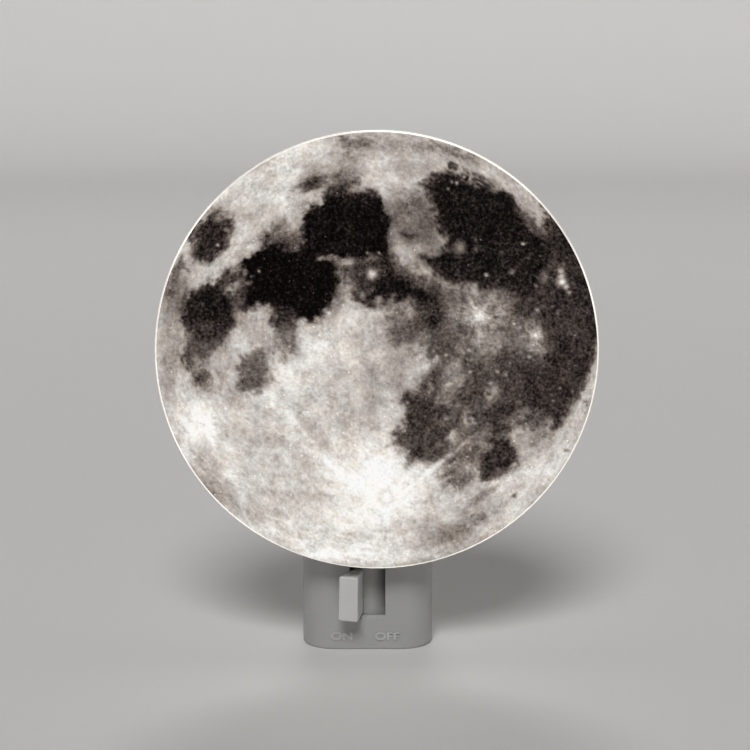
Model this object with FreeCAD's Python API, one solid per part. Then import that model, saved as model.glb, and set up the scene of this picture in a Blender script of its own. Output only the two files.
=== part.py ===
"""Plug-in night light: a round lit disc in front of a small plug housing with a lever switch.

Millimetres. The origin lies on the wall plane, midway between the two plug blades.
+Y points into the wall, +Z up, and the disc faces -Y.
"""
import FreeCAD, Part
import os
from math import cos, radians, sin, sqrt, tan

Vec = FreeCAD.Vector
Z_AXIS = Vec(0, 0, 1)

# Housing
housing_width = 36.5
housing_depth = 28.0
housing_height = 42.0
blade_height = 20.0          # the blades' middle above the housing's bottom
wall = 2.0
cover_thickness = 2.0
front_corner_radius = 9.5
edge_round = 0.7
fit_gap = 0.1                # between mouldings that slot into each other
overrun = 1.0                # how far a cut runs past the face that it opens

# Switch window, lever and rotor
axis_to_front = 9.6          # rotor and bulb axis behind the housing's front face
window_half_width = 5.0
sill_height = 9.75           # above the housing's bottom
window_height = 15.6
sill_bevel = 0.8
rotor_radius = 7.0
rotor_end_gap = 0.3
collar_radius = 7.3
collar_height = 1.05         # the collar's top above the sill
stub_radius = 2.0
running_gap = 0.05
web_thickness = 2.0          # the lower bearing web and the shelf under the socket
shelf_height = 25.8          # the shelf's underside above the housing's bottom
lever_reach = 18.2           # from the rotor's axis to the lever's tip, at its lower end
lever_lean = 0.6             # how much less it reaches at its upper end
lever_tip_half = 2.9
lever_neck_half = 1.6
lever_root_half = 1.1
lever_height = 12.5
lever_sill_gap = 0.6
lever_round = 0.5
on_angle = 17.5              # left of straight ahead; OFF is as far to the right
detent_depth = 0.5
detent_groove_radius = 0.8
detent_height = 6.0
detent_low = 12.0            # above the housing's bottom
detent_gap = 0.25
spring_end_angle = 50.0      # where the spring's front end meets the housing's round corner

# Contacts
strip_thickness = 0.5
leaf_thickness = 0.4
leaf_half_length = 2.8
contact_gap = 0.15
wiper_thickness = 0.4
wiper_height = 4.0
wiper_leg = 1.5
wiper_leg_width = 0.8
wiper_start = -15.0          # degrees from straight back, towards +X
wiper_end = 65.0
line_angle = 50.0            # where the line leaf meets the wiper
neutral_angle = 20.0         # where the neutral strip meets the socket's shell
contact_low = 15.0           # the switch leaves' lower edge above the housing's bottom
contact_height = 6.0
centre_half_width = 1.5
neutral_arm_height = 3.0

# Plug blades
blade_spacing = 12.7
blade_thickness = 1.5
line_blade_width = 6.35
neutral_blade_width = 7.9
blade_length = 17.0
blade_tip_bevel = 1.6
blade_hole_radius = 1.5
blade_hole_place = 11.9      # from the wall plane
foot_margin = 1.1            # from a blade's foot to the frame on the rear cover
rivet_radius = 1.2
rivet_head_radius = 2.0
rivet_head_height = 0.8

# Rear cover and screws
spigot_depth = 2.5
spigot_wall = 1.2
boss_radius = 2.6
boss_inset = 2.1             # the screws' middle inside the housing's side wall
top_boss_height = 35.5       # above the housing's bottom
low_boss_height = 6.0
screw_radius = 1.4
screw_length = 12.0
screw_head_radius = 2.5
screw_head_height = 1.4
screw_recess_depth = 0.9
screw_recess_width = 0.7
screw_recess_share = 0.6     # how much of the head the crossed recess takes up
pilot_gap = 0.05
rib_thickness = 1.5
rib_height = 4.0
rib_inset = 4.0

# Socket
cup_radius = 8.0
cup_wall = 1.5
cup_floor = 1.5
ledge_width = 0.9
ledge_height = 0.9
shell_wall = 0.4
shell_inner_radius = 6.05
thread_pitch = 2.54
thread_crest = 0.4           # width of a thread's crest
thread_root = 1.05           # width of a thread's foot
thread_height = 0.45
thread_sink = 0.1            # how deep a thread's foot is set in its shell
collar_wall = 2.0
collar_rise = 3.0            # the collar round the bulb above the housing's top
bulb_hole_radius = 7.0

# Bulb
bulb_shell_radius = 5.45
bulb_shell_wall = 0.35
bulb_shell_height = 12.0
bulb_turns = 4.0
thread_lead_in = 0.7
tip_radius = 2.4
tip_height = 1.2
insulator_height = 2.0
insulator_foot_radius = 3.2
bulb_length = 54.0
glass_radius = 11.0
glass_wall = 0.7
glass_neck_radius = 5.0
neck_height = 6.0            # how far the glass neck stands inside the shell
stem_foot_radius = 4.0
stem_radius = 1.6
stem_height = 11.0
stem_pinch = 3.0
lead_radius = 0.3
lead_height = 10.0
lead_spread = 4.5
filament_radius = 0.35
filament_rise = 2.5

# Disc, film, bracket and pads
disc_radius = 60.0
plate_thickness = 2.7
plate_round = 0.5
film_thickness = 0.3
film_margin = 0.5
disc_low_edge = 26.0         # the disc's lower edge above the housing's bottom
disc_offset = 2.6            # the disc hangs this far to the right of the housing
disc_gap = 7.0               # from the housing's front to the disc's back
pad_thickness = 1.0
pad_width = 9.0
pad_height = 12.0
bracket_plate = 2.0
bracket_width = 24.0
bracket_height = 44.0
bracket_round = 4.0
slide_block_width = 16.0
slide_block_gap = 0.3
rail_root_half = 3.5
rail_face_half = 5.0
rail_thickness = 2.5
rail_length = 12.0
rail_below_top = 2.0         # the rail's top below the housing's top
rail_gap = 0.2
rail_end_gap = 0.1
pad_edge = 1.5

# Places that follow from the sizes
bottom_z = -blade_height
top_z = bottom_z + housing_height
half_width = housing_width / 2
front_y = -housing_depth
cover_y = -cover_thickness
axis_y = front_y + axis_to_front
inner_half = half_width - wall
inner_front_y = front_y + wall
floor_z = bottom_z + wall
ceiling_z = top_z - wall
inner_corner_radius = front_corner_radius - wall
sill_z = bottom_z + sill_height
web_top_z = floor_z + web_thickness
shelf_z = bottom_z + shelf_height
cup_z = shelf_z + web_thickness
cup_inner_radius = cup_radius - cup_wall
cup_floor_z = cup_z + cup_floor
shell_z = cup_floor_z + ledge_height
shell_outer_radius = shell_inner_radius + shell_wall
wiper_radius = rotor_radius + running_gap
leaf_radius = wiper_radius + wiper_thickness + contact_gap + leaf_thickness / 2
contact_z = bottom_z + contact_low
tip_z = cup_floor_z + 2 * leaf_thickness + 2 * contact_gap + strip_thickness
insulator_z = tip_z + tip_height
bulb_shell_z = insulator_z + insulator_height
glass_z = bulb_shell_z + bulb_shell_height
foot_y = cover_y - blade_thickness
foot_start_x = blade_spacing / 2 + blade_thickness / 2
foot_end_x = inner_half - fit_gap - spigot_wall - foot_margin
boss_x = inner_half - boss_inset
strip_y = foot_y - strip_thickness / 2
disc_back_y = front_y - disc_gap
film_back_y = disc_back_y - plate_thickness
disc_z = bottom_z + disc_low_edge + disc_radius
bracket_front_y = disc_back_y + pad_thickness
bracket_back_y = bracket_front_y + bracket_plate
rail_top_z = top_z - rail_below_top
rail_z = rail_top_z - rail_length


def box(x0, x1, y0, y1, z0, z1):
    """A block between two corners."""
    return Part.makeBox(x1 - x0, y1 - y0, z1 - z0, Vec(x0, y0, z0))


def rod(radius, start, end):
    """A round bar from one point to another."""
    run = end - start
    return Part.makeCylinder(radius, run.Length, start, run)


def disc_at_axis(radius, z0, z1):
    """An upright cylinder on the axis that the rotor and the bulb share."""
    return rod(radius, Vec(0, axis_y, z0), Vec(0, axis_y, z1))


def ring_at_axis(outer, inner, z0, z1):
    """An upright tube on the same axis."""
    return disc_at_axis(outer, z0, z1).cut(disc_at_axis(inner, z0 - overrun, z1 + overrun))


def joined(shapes):
    """Several touching solids as one."""
    body = shapes[0].multiFuse(shapes[1:])
    return body.removeSplitter()


def around(angle, radius, z=0.0):
    """A point at an angle from straight back, towards +X, about the rotor's axis."""
    turn = radians(angle)
    return Vec(radius * sin(turn), axis_y + radius * cos(turn), z)


def tangent_at(angle):
    """The direction along a circle about the rotor's axis, towards a larger angle."""
    turn = radians(angle)
    return Vec(cos(turn), -sin(turn), 0)


def plan_face(points):
    """A flat face from corner points."""
    return Part.Face(Part.makePolygon(points + points[:1]))


def bent_strip(points, thickness, run):
    """Flat metal bent along a line of points, with its width along run."""
    parts = []
    side = Vec(run).normalize()
    for start, end in zip(points, points[1:]):
        along = (end - start).normalize()
        out = along.cross(side) * (thickness / 2)
        parts.append(plan_face([start + out, end + out, end - out, start - out]).extrude(run))
    for corner in points[1:-1]:
        parts.append(Part.makeCylinder(thickness / 2, run.Length, corner, run))
    return joined(parts)


def plan_outline(half, front, back, corner):
    """The housing's outline seen from above: square at the back, round at the front."""
    bend = corner * (1 - sqrt(2) / 2)
    edges = [
        Part.LineSegment(Vec(-half, back, 0), Vec(-half, front + corner, 0)),
        Part.Arc(Vec(-half, front + corner, 0), Vec(-half + bend, front + bend, 0),
                 Vec(-half + corner, front, 0)),
        Part.LineSegment(Vec(-half + corner, front, 0), Vec(half - corner, front, 0)),
        Part.Arc(Vec(half - corner, front, 0), Vec(half - bend, front + bend, 0),
                 Vec(half, front + corner, 0)),
        Part.LineSegment(Vec(half, front + corner, 0), Vec(half, back, 0)),
        Part.LineSegment(Vec(half, back, 0), Vec(-half, back, 0)),
    ]
    return Part.Face(Part.Wire([edge.toShape() for edge in edges]))


def upright(face, z0, z1):
    """A plan face raised from one height to another."""
    body = face.extrude(Vec(0, 0, z1 - z0))
    body.translate(Vec(0, 0, z0))
    return body


def rounded_block(half, y0, y1, z0, z1, radius):
    """A plate across the Y axis with round corners."""
    body = box(-half, half, y0, y1, z0, z1)
    corners = [edge for edge in body.Edges
               if abs(edge.tangentAt(edge.FirstParameter).y) > 1 - 1e-6]
    return body.makeFillet(radius, corners)


def helix_ridge(root_radius, crest_radius, z0, turns):
    """A screw thread's ridge about the bulb's axis, pointing outwards or inwards."""
    helix = Part.makeHelix(thread_pitch, thread_pitch * turns, root_radius)
    profile = Part.makePolygon([
        Vec(root_radius, 0, -thread_root / 2), Vec(crest_radius, 0, -thread_crest / 2),
        Vec(crest_radius, 0, thread_crest / 2), Vec(root_radius, 0, thread_root / 2),
        Vec(root_radius, 0, -thread_root / 2)])
    ridge = Part.Wire(helix.Edges).makePipeShell([profile], True, True)
    ridge.translate(Vec(0, axis_y, z0))
    return ridge


def revolved(profile):
    """A solid turned about the bulb's axis from (radius, height) points."""
    points = [Vec(radius, axis_y, z) for radius, z in profile]
    return plan_face(points).revolve(Vec(0, axis_y, 0), Z_AXIS, 360)


def is_level(edge):
    """True for an edge that lies in a level plane."""
    return edge.BoundBox.ZLength < fit_gap


def outer_body():
    """The housing's outside as one solid block, rear cover included."""
    body = upright(plan_outline(half_width, front_y, 0, front_corner_radius), bottom_z, top_z)
    rims = [edge for edge in body.Edges
            if is_level(edge) and edge.CenterOfMass.y < cover_y]
    return body.makeFillet(edge_round, rims)


def switch_window():
    """The opening for the lever, with a bevelled sill."""
    opening = box(-window_half_width, window_half_width, front_y - overrun,
                  inner_front_y + overrun, sill_z, sill_z + window_height)
    bevel = plan_face([
        Vec(-window_half_width, front_y - overrun, sill_z - sill_bevel - overrun),
        Vec(-window_half_width, front_y + sill_bevel, sill_z),
        Vec(-window_half_width, front_y - overrun, sill_z)])
    return opening.fuse(bevel.extrude(Vec(2 * window_half_width, 0, 0)))


def bearing_slot(z0, z1):
    """A slot open to the back whose round end carries one of the rotor's stubs."""
    radius = stub_radius + running_gap
    return joined([disc_at_axis(radius, z0, z1),
                   box(-radius, radius, axis_y, 0, z0, z1)])


def bearing_web(z0):
    """A flat web across the housing with a bearing slot in it."""
    face = plan_outline(inner_half + wall / 2, front_y + wall / 2, axis_y + rotor_radius,
                        front_corner_radius - wall / 2)
    return upright(face, z0, z0 + web_thickness).cut(
        bearing_slot(z0 - overrun, z0 + web_thickness + overrun))


def boss_places():
    """The two screws' places, seen from the front."""
    return [Vec(boss_x, 0, bottom_z + top_boss_height),
            Vec(-boss_x, 0, bottom_z + low_boss_height)]


def screw_bosses():
    """Round columns inside the housing that the screws bite into, clear of the socket cup."""
    cup_room = disc_at_axis(cup_radius + fit_gap, cup_z, ceiling_z)
    return [rod(boss_radius, place + Vec(0, front_y, 0), place + Vec(0, cover_y, 0)).cut(cup_room)
            for place in boss_places()]


def detent_post():
    """A short rib on the side wall that holds the detent spring's end."""
    low = bottom_z + detent_low
    return box(-inner_half - wall / 2, -inner_half + spring_inset() + wall, spring_back_y(),
               spring_back_y() + wall / 2, low, low + detent_height)


def spring_inset():
    """How far the detent spring's ends lie from the housing's side wall."""
    return wall + leaf_thickness


def spring_back_y():
    """Where the detent spring's rear end stops."""
    return axis_y + rotor_radius + wall + overrun


def shade_rail():
    """The dovetail rail on the housing's front that the bracket slides down on."""
    return dovetail(0.0, rail_z, rail_top_z)


def dovetail(gap, z0, z1):
    """The rail's section, grown by a gap, between two heights."""
    face_y = front_y - rail_thickness - gap
    slope = (rail_face_half - rail_root_half) / rail_thickness
    root = rail_root_half + gap
    face = root + slope * (rail_thickness + gap)
    sunk = root - slope * wall / 2
    return upright(plan_face([
        Vec(-sunk, front_y + wall / 2, 0), Vec(-face, face_y, 0),
        Vec(face, face_y, 0), Vec(sunk, front_y + wall / 2, 0)]), z0, z1)


def front_shell():
    """The white housing, open at the back."""
    body = outer_body()
    body = body.cut(box(-housing_width, housing_width, cover_y, overrun, bottom_z - overrun,
                        top_z + overrun))
    hollow = upright(plan_outline(inner_half, inner_front_y, 0, inner_corner_radius),
                     floor_z, ceiling_z)
    inside = screw_bosses() + [bearing_web(floor_z), bearing_web(shelf_z), detent_post()]
    shell = body.cut(hollow)
    shell = joined([shell] + [piece.common(body) for piece in inside])
    shell = joined([shell, shade_rail(),
                    ring_at_axis(bulb_hole_radius + collar_wall, bulb_hole_radius,
                                 ceiling_z + wall / 2, top_z + collar_rise)])
    shell = shell.cut(disc_at_axis(bulb_hole_radius, ceiling_z - overrun, top_z + overrun))
    shell = shell.cut(switch_window())
    for place in boss_places():
        depth = Vec(0, cover_y - screw_length, 0)
        shell = shell.cut(rod(screw_radius + pilot_gap, place + depth, place))
    return shell


def cover_ribs():
    """Two ribs on the rear cover that press the socket cup home."""
    ribs = []
    outer = rib_inset + rib_thickness
    reach = sqrt(cup_radius ** 2 - rib_inset ** 2)
    for side in (-1, 1):
        ends = sorted((side * rib_inset, side * outer))
        ribs.append(box(ends[0], ends[1], axis_y + reach + rotor_end_gap, cover_y,
                        cup_z + fit_gap, cup_z + fit_gap + rib_height))
    return ribs


def cover_tongue():
    """The rear cover's tongue, which closes the lower bearing slot."""
    half = stub_radius - fit_gap
    return box(-half, half, axis_y + stub_radius + fit_gap, cover_y,
               floor_z + fit_gap, web_top_z - fit_gap)


def cover_spigot():
    """The frame on the rear cover that centres it in the housing."""
    half = inner_half - fit_gap
    inner = half - spigot_wall
    frame = box(-half, half, cover_y - spigot_depth, cover_y, floor_z + fit_gap,
                ceiling_z - fit_gap)
    inside = box(-inner, inner, cover_y - spigot_depth - overrun, cover_y + overrun,
                 floor_z + fit_gap + spigot_wall, ceiling_z - fit_gap - spigot_wall)
    frame = frame.cut(inside)
    for place in boss_places():
        frame = frame.cut(rod(boss_radius + rotor_end_gap, place + Vec(0, front_y, 0), place))
    return frame


def rear_cover():
    """The flat back that rests on the wall plate."""
    plate = outer_body().common(box(-housing_width, housing_width, cover_y, 0,
                                    bottom_z - overrun, top_z + overrun))
    parts = [plate, cover_tongue()] + cover_ribs()
    cover = joined(parts + cover_spigot().Solids)
    for side, width in blade_sides():
        slot = box(-blade_thickness / 2 - fit_gap / 2, blade_thickness / 2 + fit_gap / 2,
                   cover_y - overrun, overrun, -width / 2 - fit_gap / 2, width / 2 + fit_gap / 2)
        slot.translate(Vec(side * blade_spacing / 2, 0, 0))
        cover = cover.cut(slot)
        cover = cover.cut(rivet_hole(side))
    for place in boss_places():
        cover = cover.cut(rod(screw_radius + fit_gap, place + Vec(0, cover_y - overrun, 0), place))
        cover = cover.cut(rod(screw_head_radius + fit_gap,
                              place - Vec(0, screw_head_height + fit_gap, 0),
                              place + Vec(0, overrun, 0)))
    return cover


def blade_sides():
    """Each blade's side and width: neutral towards -X, line towards +X."""
    return [(-1, neutral_blade_width), (1, line_blade_width)]


def rivet_x(side):
    """A rivet's distance from the middle plane, with its sign."""
    return side * (foot_start_x + foot_end_x) / 2


def rivet_hole(side):
    """The hole for a rivet through the cover, the blade's foot and the strip, with its recess."""
    x = rivet_x(side)
    gap = fit_gap / 2
    return joined([
        rod(rivet_radius + gap, Vec(x, strip_y - overrun, 0), Vec(x, overrun, 0)),
        rod(rivet_head_radius + gap, Vec(x, -rivet_head_height, 0), Vec(x, overrun, 0)),
    ])


def blade_rivet(side):
    """A rivet with a head inside the strip and one sunk in the cover's back."""
    x = rivet_x(side)
    inner_y = foot_y - strip_thickness
    return joined([
        rod(rivet_radius, Vec(x, inner_y, 0), Vec(x, -rivet_head_height, 0)),
        rod(rivet_head_radius, Vec(x, inner_y - rivet_head_height, 0), Vec(x, inner_y, 0)),
        rod(rivet_head_radius, Vec(x, -rivet_head_height, 0), Vec(x, -fit_gap, 0)),
    ])


def blade(side, width):
    """A flat plug blade whose inner end is bent into a foot behind the cover."""
    middle_y = (cover_y + foot_y) / 2
    x = side * blade_spacing / 2
    points = [Vec(side * foot_end_x, middle_y, -width / 2),
              Vec(x, middle_y, -width / 2), Vec(x, blade_length, -width / 2)]
    body = bent_strip(points, blade_thickness, Vec(0, 0, width))
    tips = [edge for edge in body.Edges
            if abs(edge.CenterOfMass.y - blade_length) < fit_gap
            and abs(edge.CenterOfMass.z) > width / 2 - fit_gap]
    body = body.makeChamfer(blade_tip_bevel, tips)
    hole = rod(blade_hole_radius, Vec(x - blade_thickness, blade_hole_place, 0),
               Vec(x + blade_thickness, blade_hole_place, 0))
    return body.cut(hole).cut(rivet_hole(side))


def line_strip():
    """The strip from the line blade to the spring leaf that meets the wiper."""
    wall_x = inner_half - wall - strip_thickness / 2
    contact = around(line_angle, leaf_radius, contact_z)
    along = tangent_at(line_angle) * leaf_half_length
    start = contact + along
    points = [Vec(rivet_x(1) - rivet_head_radius - overrun, strip_y, contact_z),
              Vec(wall_x, strip_y, contact_z),
              Vec(wall_x, start.y - leaf_thickness, contact_z),
              start, contact - along]
    strip = bent_strip(points, leaf_thickness, Vec(0, 0, contact_height))
    foot = box(points[0].x, wall_x, foot_y - strip_thickness, foot_y,
               contact_z, line_blade_width / 2)
    return joined([strip, foot]).cut(rivet_hole(1))


def neutral_strip():
    """The strip from the neutral blade up to the socket's screw shell."""
    arm_z = cup_floor_z + neutral_arm_height + overrun
    contact = around(-neutral_angle, shell_outer_radius + contact_gap, arm_z)
    inner_x = rivet_x(-1) + rivet_head_radius + overrun
    outer_x = rivet_x(-1) - rivet_head_radius - overrun / 2
    riser = box(outer_x, inner_x, foot_y - strip_thickness, foot_y,
                -neutral_blade_width / 2, arm_z + neutral_arm_height)
    points = [Vec(inner_x - strip_thickness, strip_y, arm_z),
              Vec(inner_x + strip_thickness, strip_y, arm_z), contact]
    arm = bent_strip(points, strip_thickness, Vec(0, 0, neutral_arm_height))
    return joined([riser, arm]).cut(rivet_hole(-1))


def neutral_slot():
    """The opening in the cup's wall that the neutral strip's end passes."""
    arm_z = cup_floor_z + neutral_arm_height + overrun
    inner = around(-neutral_angle, shell_outer_radius - shell_wall)
    outer = around(-neutral_angle, cup_radius + overrun)
    half = centre_half_width + fit_gap
    along = tangent_at(-neutral_angle) * half
    face = plan_face([inner + along, outer + along, outer - along, inner - along])
    return upright(face, arm_z - fit_gap, arm_z + neutral_arm_height + fit_gap)


def centre_contact():
    """The bent strip from the switch to the spring tongue under the bulb."""
    leaf_y = axis_y + leaf_radius
    riser_y = axis_y + cup_radius + leaf_thickness
    run_z = cup_floor_z + leaf_thickness / 2
    x = -centre_half_width
    points = [Vec(x, leaf_y, contact_z), Vec(x, leaf_y, contact_z + contact_height),
              Vec(x, riser_y, shelf_z), Vec(x, riser_y, run_z),
              Vec(x, axis_y + tip_radius, run_z),
              Vec(x, axis_y - tip_radius / 2, tip_z - contact_gap - leaf_thickness / 2)]
    return bent_strip(points, leaf_thickness, Vec(2 * centre_half_width, 0, 0))


def socket_cup():
    """The insulating cup, flat at its front, whose key closes the upper bearing slot."""
    cup = ring_at_axis(cup_radius, cup_inner_radius, cup_z, ceiling_z)
    floor = disc_at_axis(cup_inner_radius + fit_gap, cup_z, cup_floor_z)
    ledge = ring_at_axis(cup_inner_radius + fit_gap, cup_inner_radius - ledge_width,
                         cup_floor_z, shell_z)
    key_half = stub_radius - fit_gap
    key = box(-key_half, key_half, axis_y + stub_radius + fit_gap,
              axis_y + cup_inner_radius, shelf_z + fit_gap, cup_z)
    body = joined([cup, floor, ledge, key])
    front_flat = box(-cup_radius, cup_radius, axis_y - cup_radius, inner_front_y + fit_gap,
                     cup_z - overrun, ceiling_z + overrun)
    body = body.cut(front_flat)
    half = centre_half_width + fit_gap
    groove = box(-half, half, axis_y, axis_y + cup_radius + overrun, cup_floor_z,
                 cup_floor_z + leaf_thickness + fit_gap)
    return body.cut(groove).cut(neutral_slot())


def socket_screw_shell():
    """The threaded shell that stands on the cup's ledge."""
    tube = ring_at_axis(shell_outer_radius, shell_inner_radius, shell_z, ceiling_z)
    root = shell_inner_radius + thread_sink
    ridge = helix_ridge(root, root - thread_sink - thread_height, socket_thread_z(),
                        socket_turns())
    return joined([tube, ridge])


def bulb_thread_z():
    """The height where the bulb's thread starts."""
    return bulb_shell_z + thread_lead_in


def socket_thread_z():
    """The height where the socket's thread starts, half a pitch out of step with the bulb's."""
    return bulb_thread_z() + thread_pitch / 2 - thread_pitch


def socket_turns():
    """How many turns of thread fit below the socket shell's rim."""
    return (ceiling_z - thread_root - socket_thread_z()) / thread_pitch


def bulb_screw_shell():
    """The bulb's threaded shell, which holds the glass neck."""
    tube = ring_at_axis(bulb_shell_radius, bulb_shell_radius - bulb_shell_wall,
                        bulb_shell_z, glass_z)
    root = bulb_shell_radius - thread_sink
    ridge = helix_ridge(root, root + thread_sink + thread_height, bulb_thread_z(), bulb_turns)
    return joined([tube, ridge])


def bulb_insulator():
    """The black ring between the bulb's shell and its tip."""
    rim = bulb_shell_radius - bulb_shell_wall / 2
    hole = tip_radius / 2
    return revolved([(hole, insulator_z), (insulator_foot_radius, insulator_z),
                     (rim, bulb_shell_z), (hole, bulb_shell_z)])


def bulb_tip_contact():
    """The domed button under the bulb."""
    drop = tip_height * 2
    ball_radius = (tip_radius ** 2 + tip_height ** 2) / drop
    ball = Part.makeSphere(ball_radius, Vec(0, axis_y, tip_z + ball_radius))
    cap = ball.common(disc_at_axis(tip_radius, tip_z, insulator_z))
    pin = disc_at_axis(tip_radius / 2 - running_gap, insulator_z - overrun / 2, bulb_shell_z)
    return joined([cap, pin])


def glass_curve(radius_inset, height_inset):
    """The glass outline from its mouth to its top, as a smooth curve of (radius, height)."""
    outline_shares = [(0.47, 0.0), (0.62, 0.12), (0.91, 0.30), (1.0, 0.44),
                      (0.92, 0.62), (0.66, 0.82), (0.34, 0.95), (0.0, 1.0)]
    height = bulb_length - (glass_z - tip_z)
    points = []
    for radius_share, height_share in outline_shares:
        radius = max(radius_share * glass_radius - radius_inset, 0.0)
        points.append(Vec(radius, axis_y, glass_z + height_share * (height - height_inset)))
    curve = Part.BSplineCurve()
    curve.interpolate(Points=points, InitialTangent=Z_AXIS, FinalTangent=Vec(-1, 0, 0))
    return curve, points


def glass_solid(radius_inset, height_inset, neck_z):
    """The glass's outside or inside, as a full solid."""
    curve, points = glass_curve(radius_inset, height_inset)
    neck = glass_neck_radius - radius_inset
    start = points[0]
    top = points[-1]
    lines = [Vec(0, axis_y, neck_z), Vec(neck, axis_y, neck_z), Vec(neck, axis_y, glass_z), start]
    edges = [Part.LineSegment(a, b).toShape() for a, b in zip(lines, lines[1:])]
    edges.append(curve.toShape())
    edges.append(Part.LineSegment(top, lines[0]).toShape())
    face = Part.Face(Part.Wire(edges))
    return face.revolve(Vec(0, axis_y, 0), Z_AXIS, 360)


def bulb_glass():
    """The hollow glass, open at its neck."""
    neck_z = glass_z - neck_height
    return glass_solid(0.0, 0.0, neck_z).cut(
        glass_solid(glass_wall, glass_wall, neck_z - overrun))


def stem_z():
    """The height of the glass mount's foot."""
    return glass_z - neck_height


def bulb_stem():
    """The glass mount: a flare at the neck, a tube and a flat pinch that holds the wires."""
    foot = stem_z()
    top = foot + stem_height
    flare = revolved([(0.0, foot), (stem_foot_radius, foot), (stem_radius, foot + stem_pinch),
                      (stem_radius, top), (0.0, top)])
    pinch = box(-stem_pinch, stem_pinch, axis_y - stem_radius / 2, axis_y + stem_radius / 2,
                top - stem_pinch / 2, top + stem_pinch / 2)
    return joined([flare, pinch])


def lead_ends(side):
    """A lead wire's lower and upper end."""
    low = stem_z() + stem_height
    inner = stem_pinch - stem_radius / 2
    return (Vec(side * inner, axis_y, low),
            Vec(side * lead_spread, axis_y, low + lead_height))


def bulb_leads():
    """The two wires that carry the filament."""
    return Part.makeCompound([rod(lead_radius, *lead_ends(side)) for side in (-1, 1)])


def bulb_filament():
    """The coiled filament, as a bowed rod between the two wires."""
    left = lead_ends(-1)[1]
    right = lead_ends(1)[1]
    top = (left + right) * 0.5 + Vec(0, 0, filament_rise)
    arc = Part.Arc(left, top, right)
    path = Part.Wire([arc.toShape()])
    start = arc.tangent(arc.FirstParameter)[0]
    ring = Part.Wire([Part.Circle(left, start, filament_radius).toShape()])
    return path.makePipeShell([ring], True, True)


def rotor_barrel():
    """The drum with its collar, end stubs and detent grooves."""
    barrel_z = web_top_z + rotor_end_gap
    barrel_top = shelf_z - rotor_end_gap
    barrel = joined([
        disc_at_axis(rotor_radius, barrel_z, barrel_top),
        disc_at_axis(collar_radius, barrel_z, sill_z + collar_height),
        disc_at_axis(stub_radius, floor_z + fit_gap, cup_z - fit_gap)])
    low = bottom_z + detent_low - fit_gap
    for angle in (-90, -90 + 2 * on_angle):
        place = around(angle, rotor_radius + detent_groove_radius - detent_depth, low)
        barrel = barrel.cut(rod(detent_groove_radius, place,
                                place + Vec(0, 0, detent_height + 2 * fit_gap)))
    return barrel


def lever():
    """The flared lever, straight ahead before it is turned to ON."""
    neck_y = front_y
    root_y = axis_y - rotor_radius
    tip_y = axis_y - lever_reach
    low = sill_z + lever_sill_gap
    body = upright(plan_face([
        Vec(-lever_root_half, axis_y, 0), Vec(-lever_root_half, root_y, 0),
        Vec(-lever_neck_half, neck_y, 0), Vec(-lever_tip_half, tip_y, 0),
        Vec(lever_tip_half, tip_y, 0), Vec(lever_neck_half, neck_y, 0),
        Vec(lever_root_half, root_y, 0), Vec(lever_root_half, axis_y, 0)]),
        low, low + lever_height)
    shave = plan_face([
        Vec(-lever_reach, tip_y, low), Vec(-lever_reach, tip_y + lever_lean, low + lever_height),
        Vec(-lever_reach, tip_y - overrun, low + lever_height),
        Vec(-lever_reach, tip_y - overrun, low)]).extrude(Vec(2 * lever_reach, 0, 0))
    body = body.cut(shave)
    rims = [edge for edge in body.Edges if edge.CenterOfMass.y < neck_y - lever_round]
    return body.makeFillet(lever_round, rims)


def wiper_at(gap):
    """The contact band on the rotor's back with two legs sunk in it, grown by a gap."""
    low = contact_z + (contact_height - wiper_height) / 2
    high = low + wiper_height
    outer = wiper_radius + wiper_thickness
    tube = ring_at_axis(outer + gap, wiper_radius, low - gap, high + gap)
    reach = 2 * outer
    corners = [around(wiper_start, 0.0, low - gap)]
    steps = 4
    for step in range(steps + 1):
        angle = wiper_start + (wiper_end - wiper_start) * step / steps
        corners.append(around(angle, reach, low - gap))
    wedge = plan_face(corners).extrude(Vec(0, 0, wiper_height + 2 * gap))
    band = tube.common(wedge)
    legs = []
    for angle, inwards in ((wiper_start, 1), (wiper_end, -1)):
        along = tangent_at(angle) * inwards
        foot = around(angle, wiper_radius - wiper_leg, low - gap) - along * gap
        head = around(angle, wiper_radius + wiper_thickness / 2, low - gap) - along * gap
        width = along * (wiper_leg_width + 2 * gap)
        legs.append(plan_face([foot, head, head + width, foot + width]).extrude(
            Vec(0, 0, wiper_height + 2 * gap)))
    return joined([band] + legs)


def switch_rotor():
    """The drum and the lever, one moulding, turned to ON."""
    body = joined([rotor_barrel(), lever_turned()])
    return body.cut(wiper_at(running_gap))


def lever_turned():
    """The lever at ON."""
    body = lever()
    body.rotate(Vec(0, axis_y, 0), Z_AXIS, -on_angle)
    return body


def detent_spring():
    """The bowed leaf beside the rotor, which clicks into its two grooves."""
    low = bottom_z + detent_low
    nose_x = -rotor_radius - detent_gap - leaf_thickness / 2
    nose_half = leaf_thickness * 2
    bow = rotor_radius / 2 - leaf_thickness
    arm_x = nose_x - wall / 2
    end_x = -inner_half + spring_inset()
    corner = Vec(-inner_half + inner_corner_radius, inner_front_y + inner_corner_radius, 0)
    front_end = corner + Vec(-1, -tan(radians(spring_end_angle)), 0).normalize() * (
        inner_corner_radius - rotor_end_gap - leaf_thickness)
    points = [Vec(end_x, spring_back_y() - contact_gap - leaf_thickness / 2, low),
              Vec(arm_x, axis_y + bow, low),
              Vec(nose_x, axis_y + nose_half, low),
              Vec(nose_x, axis_y - nose_half, low),
              Vec(arm_x, axis_y - bow, low),
              Vec(front_end.x, front_end.y, low)]
    return bent_strip(points, leaf_thickness, Vec(0, 0, detent_height))


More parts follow.
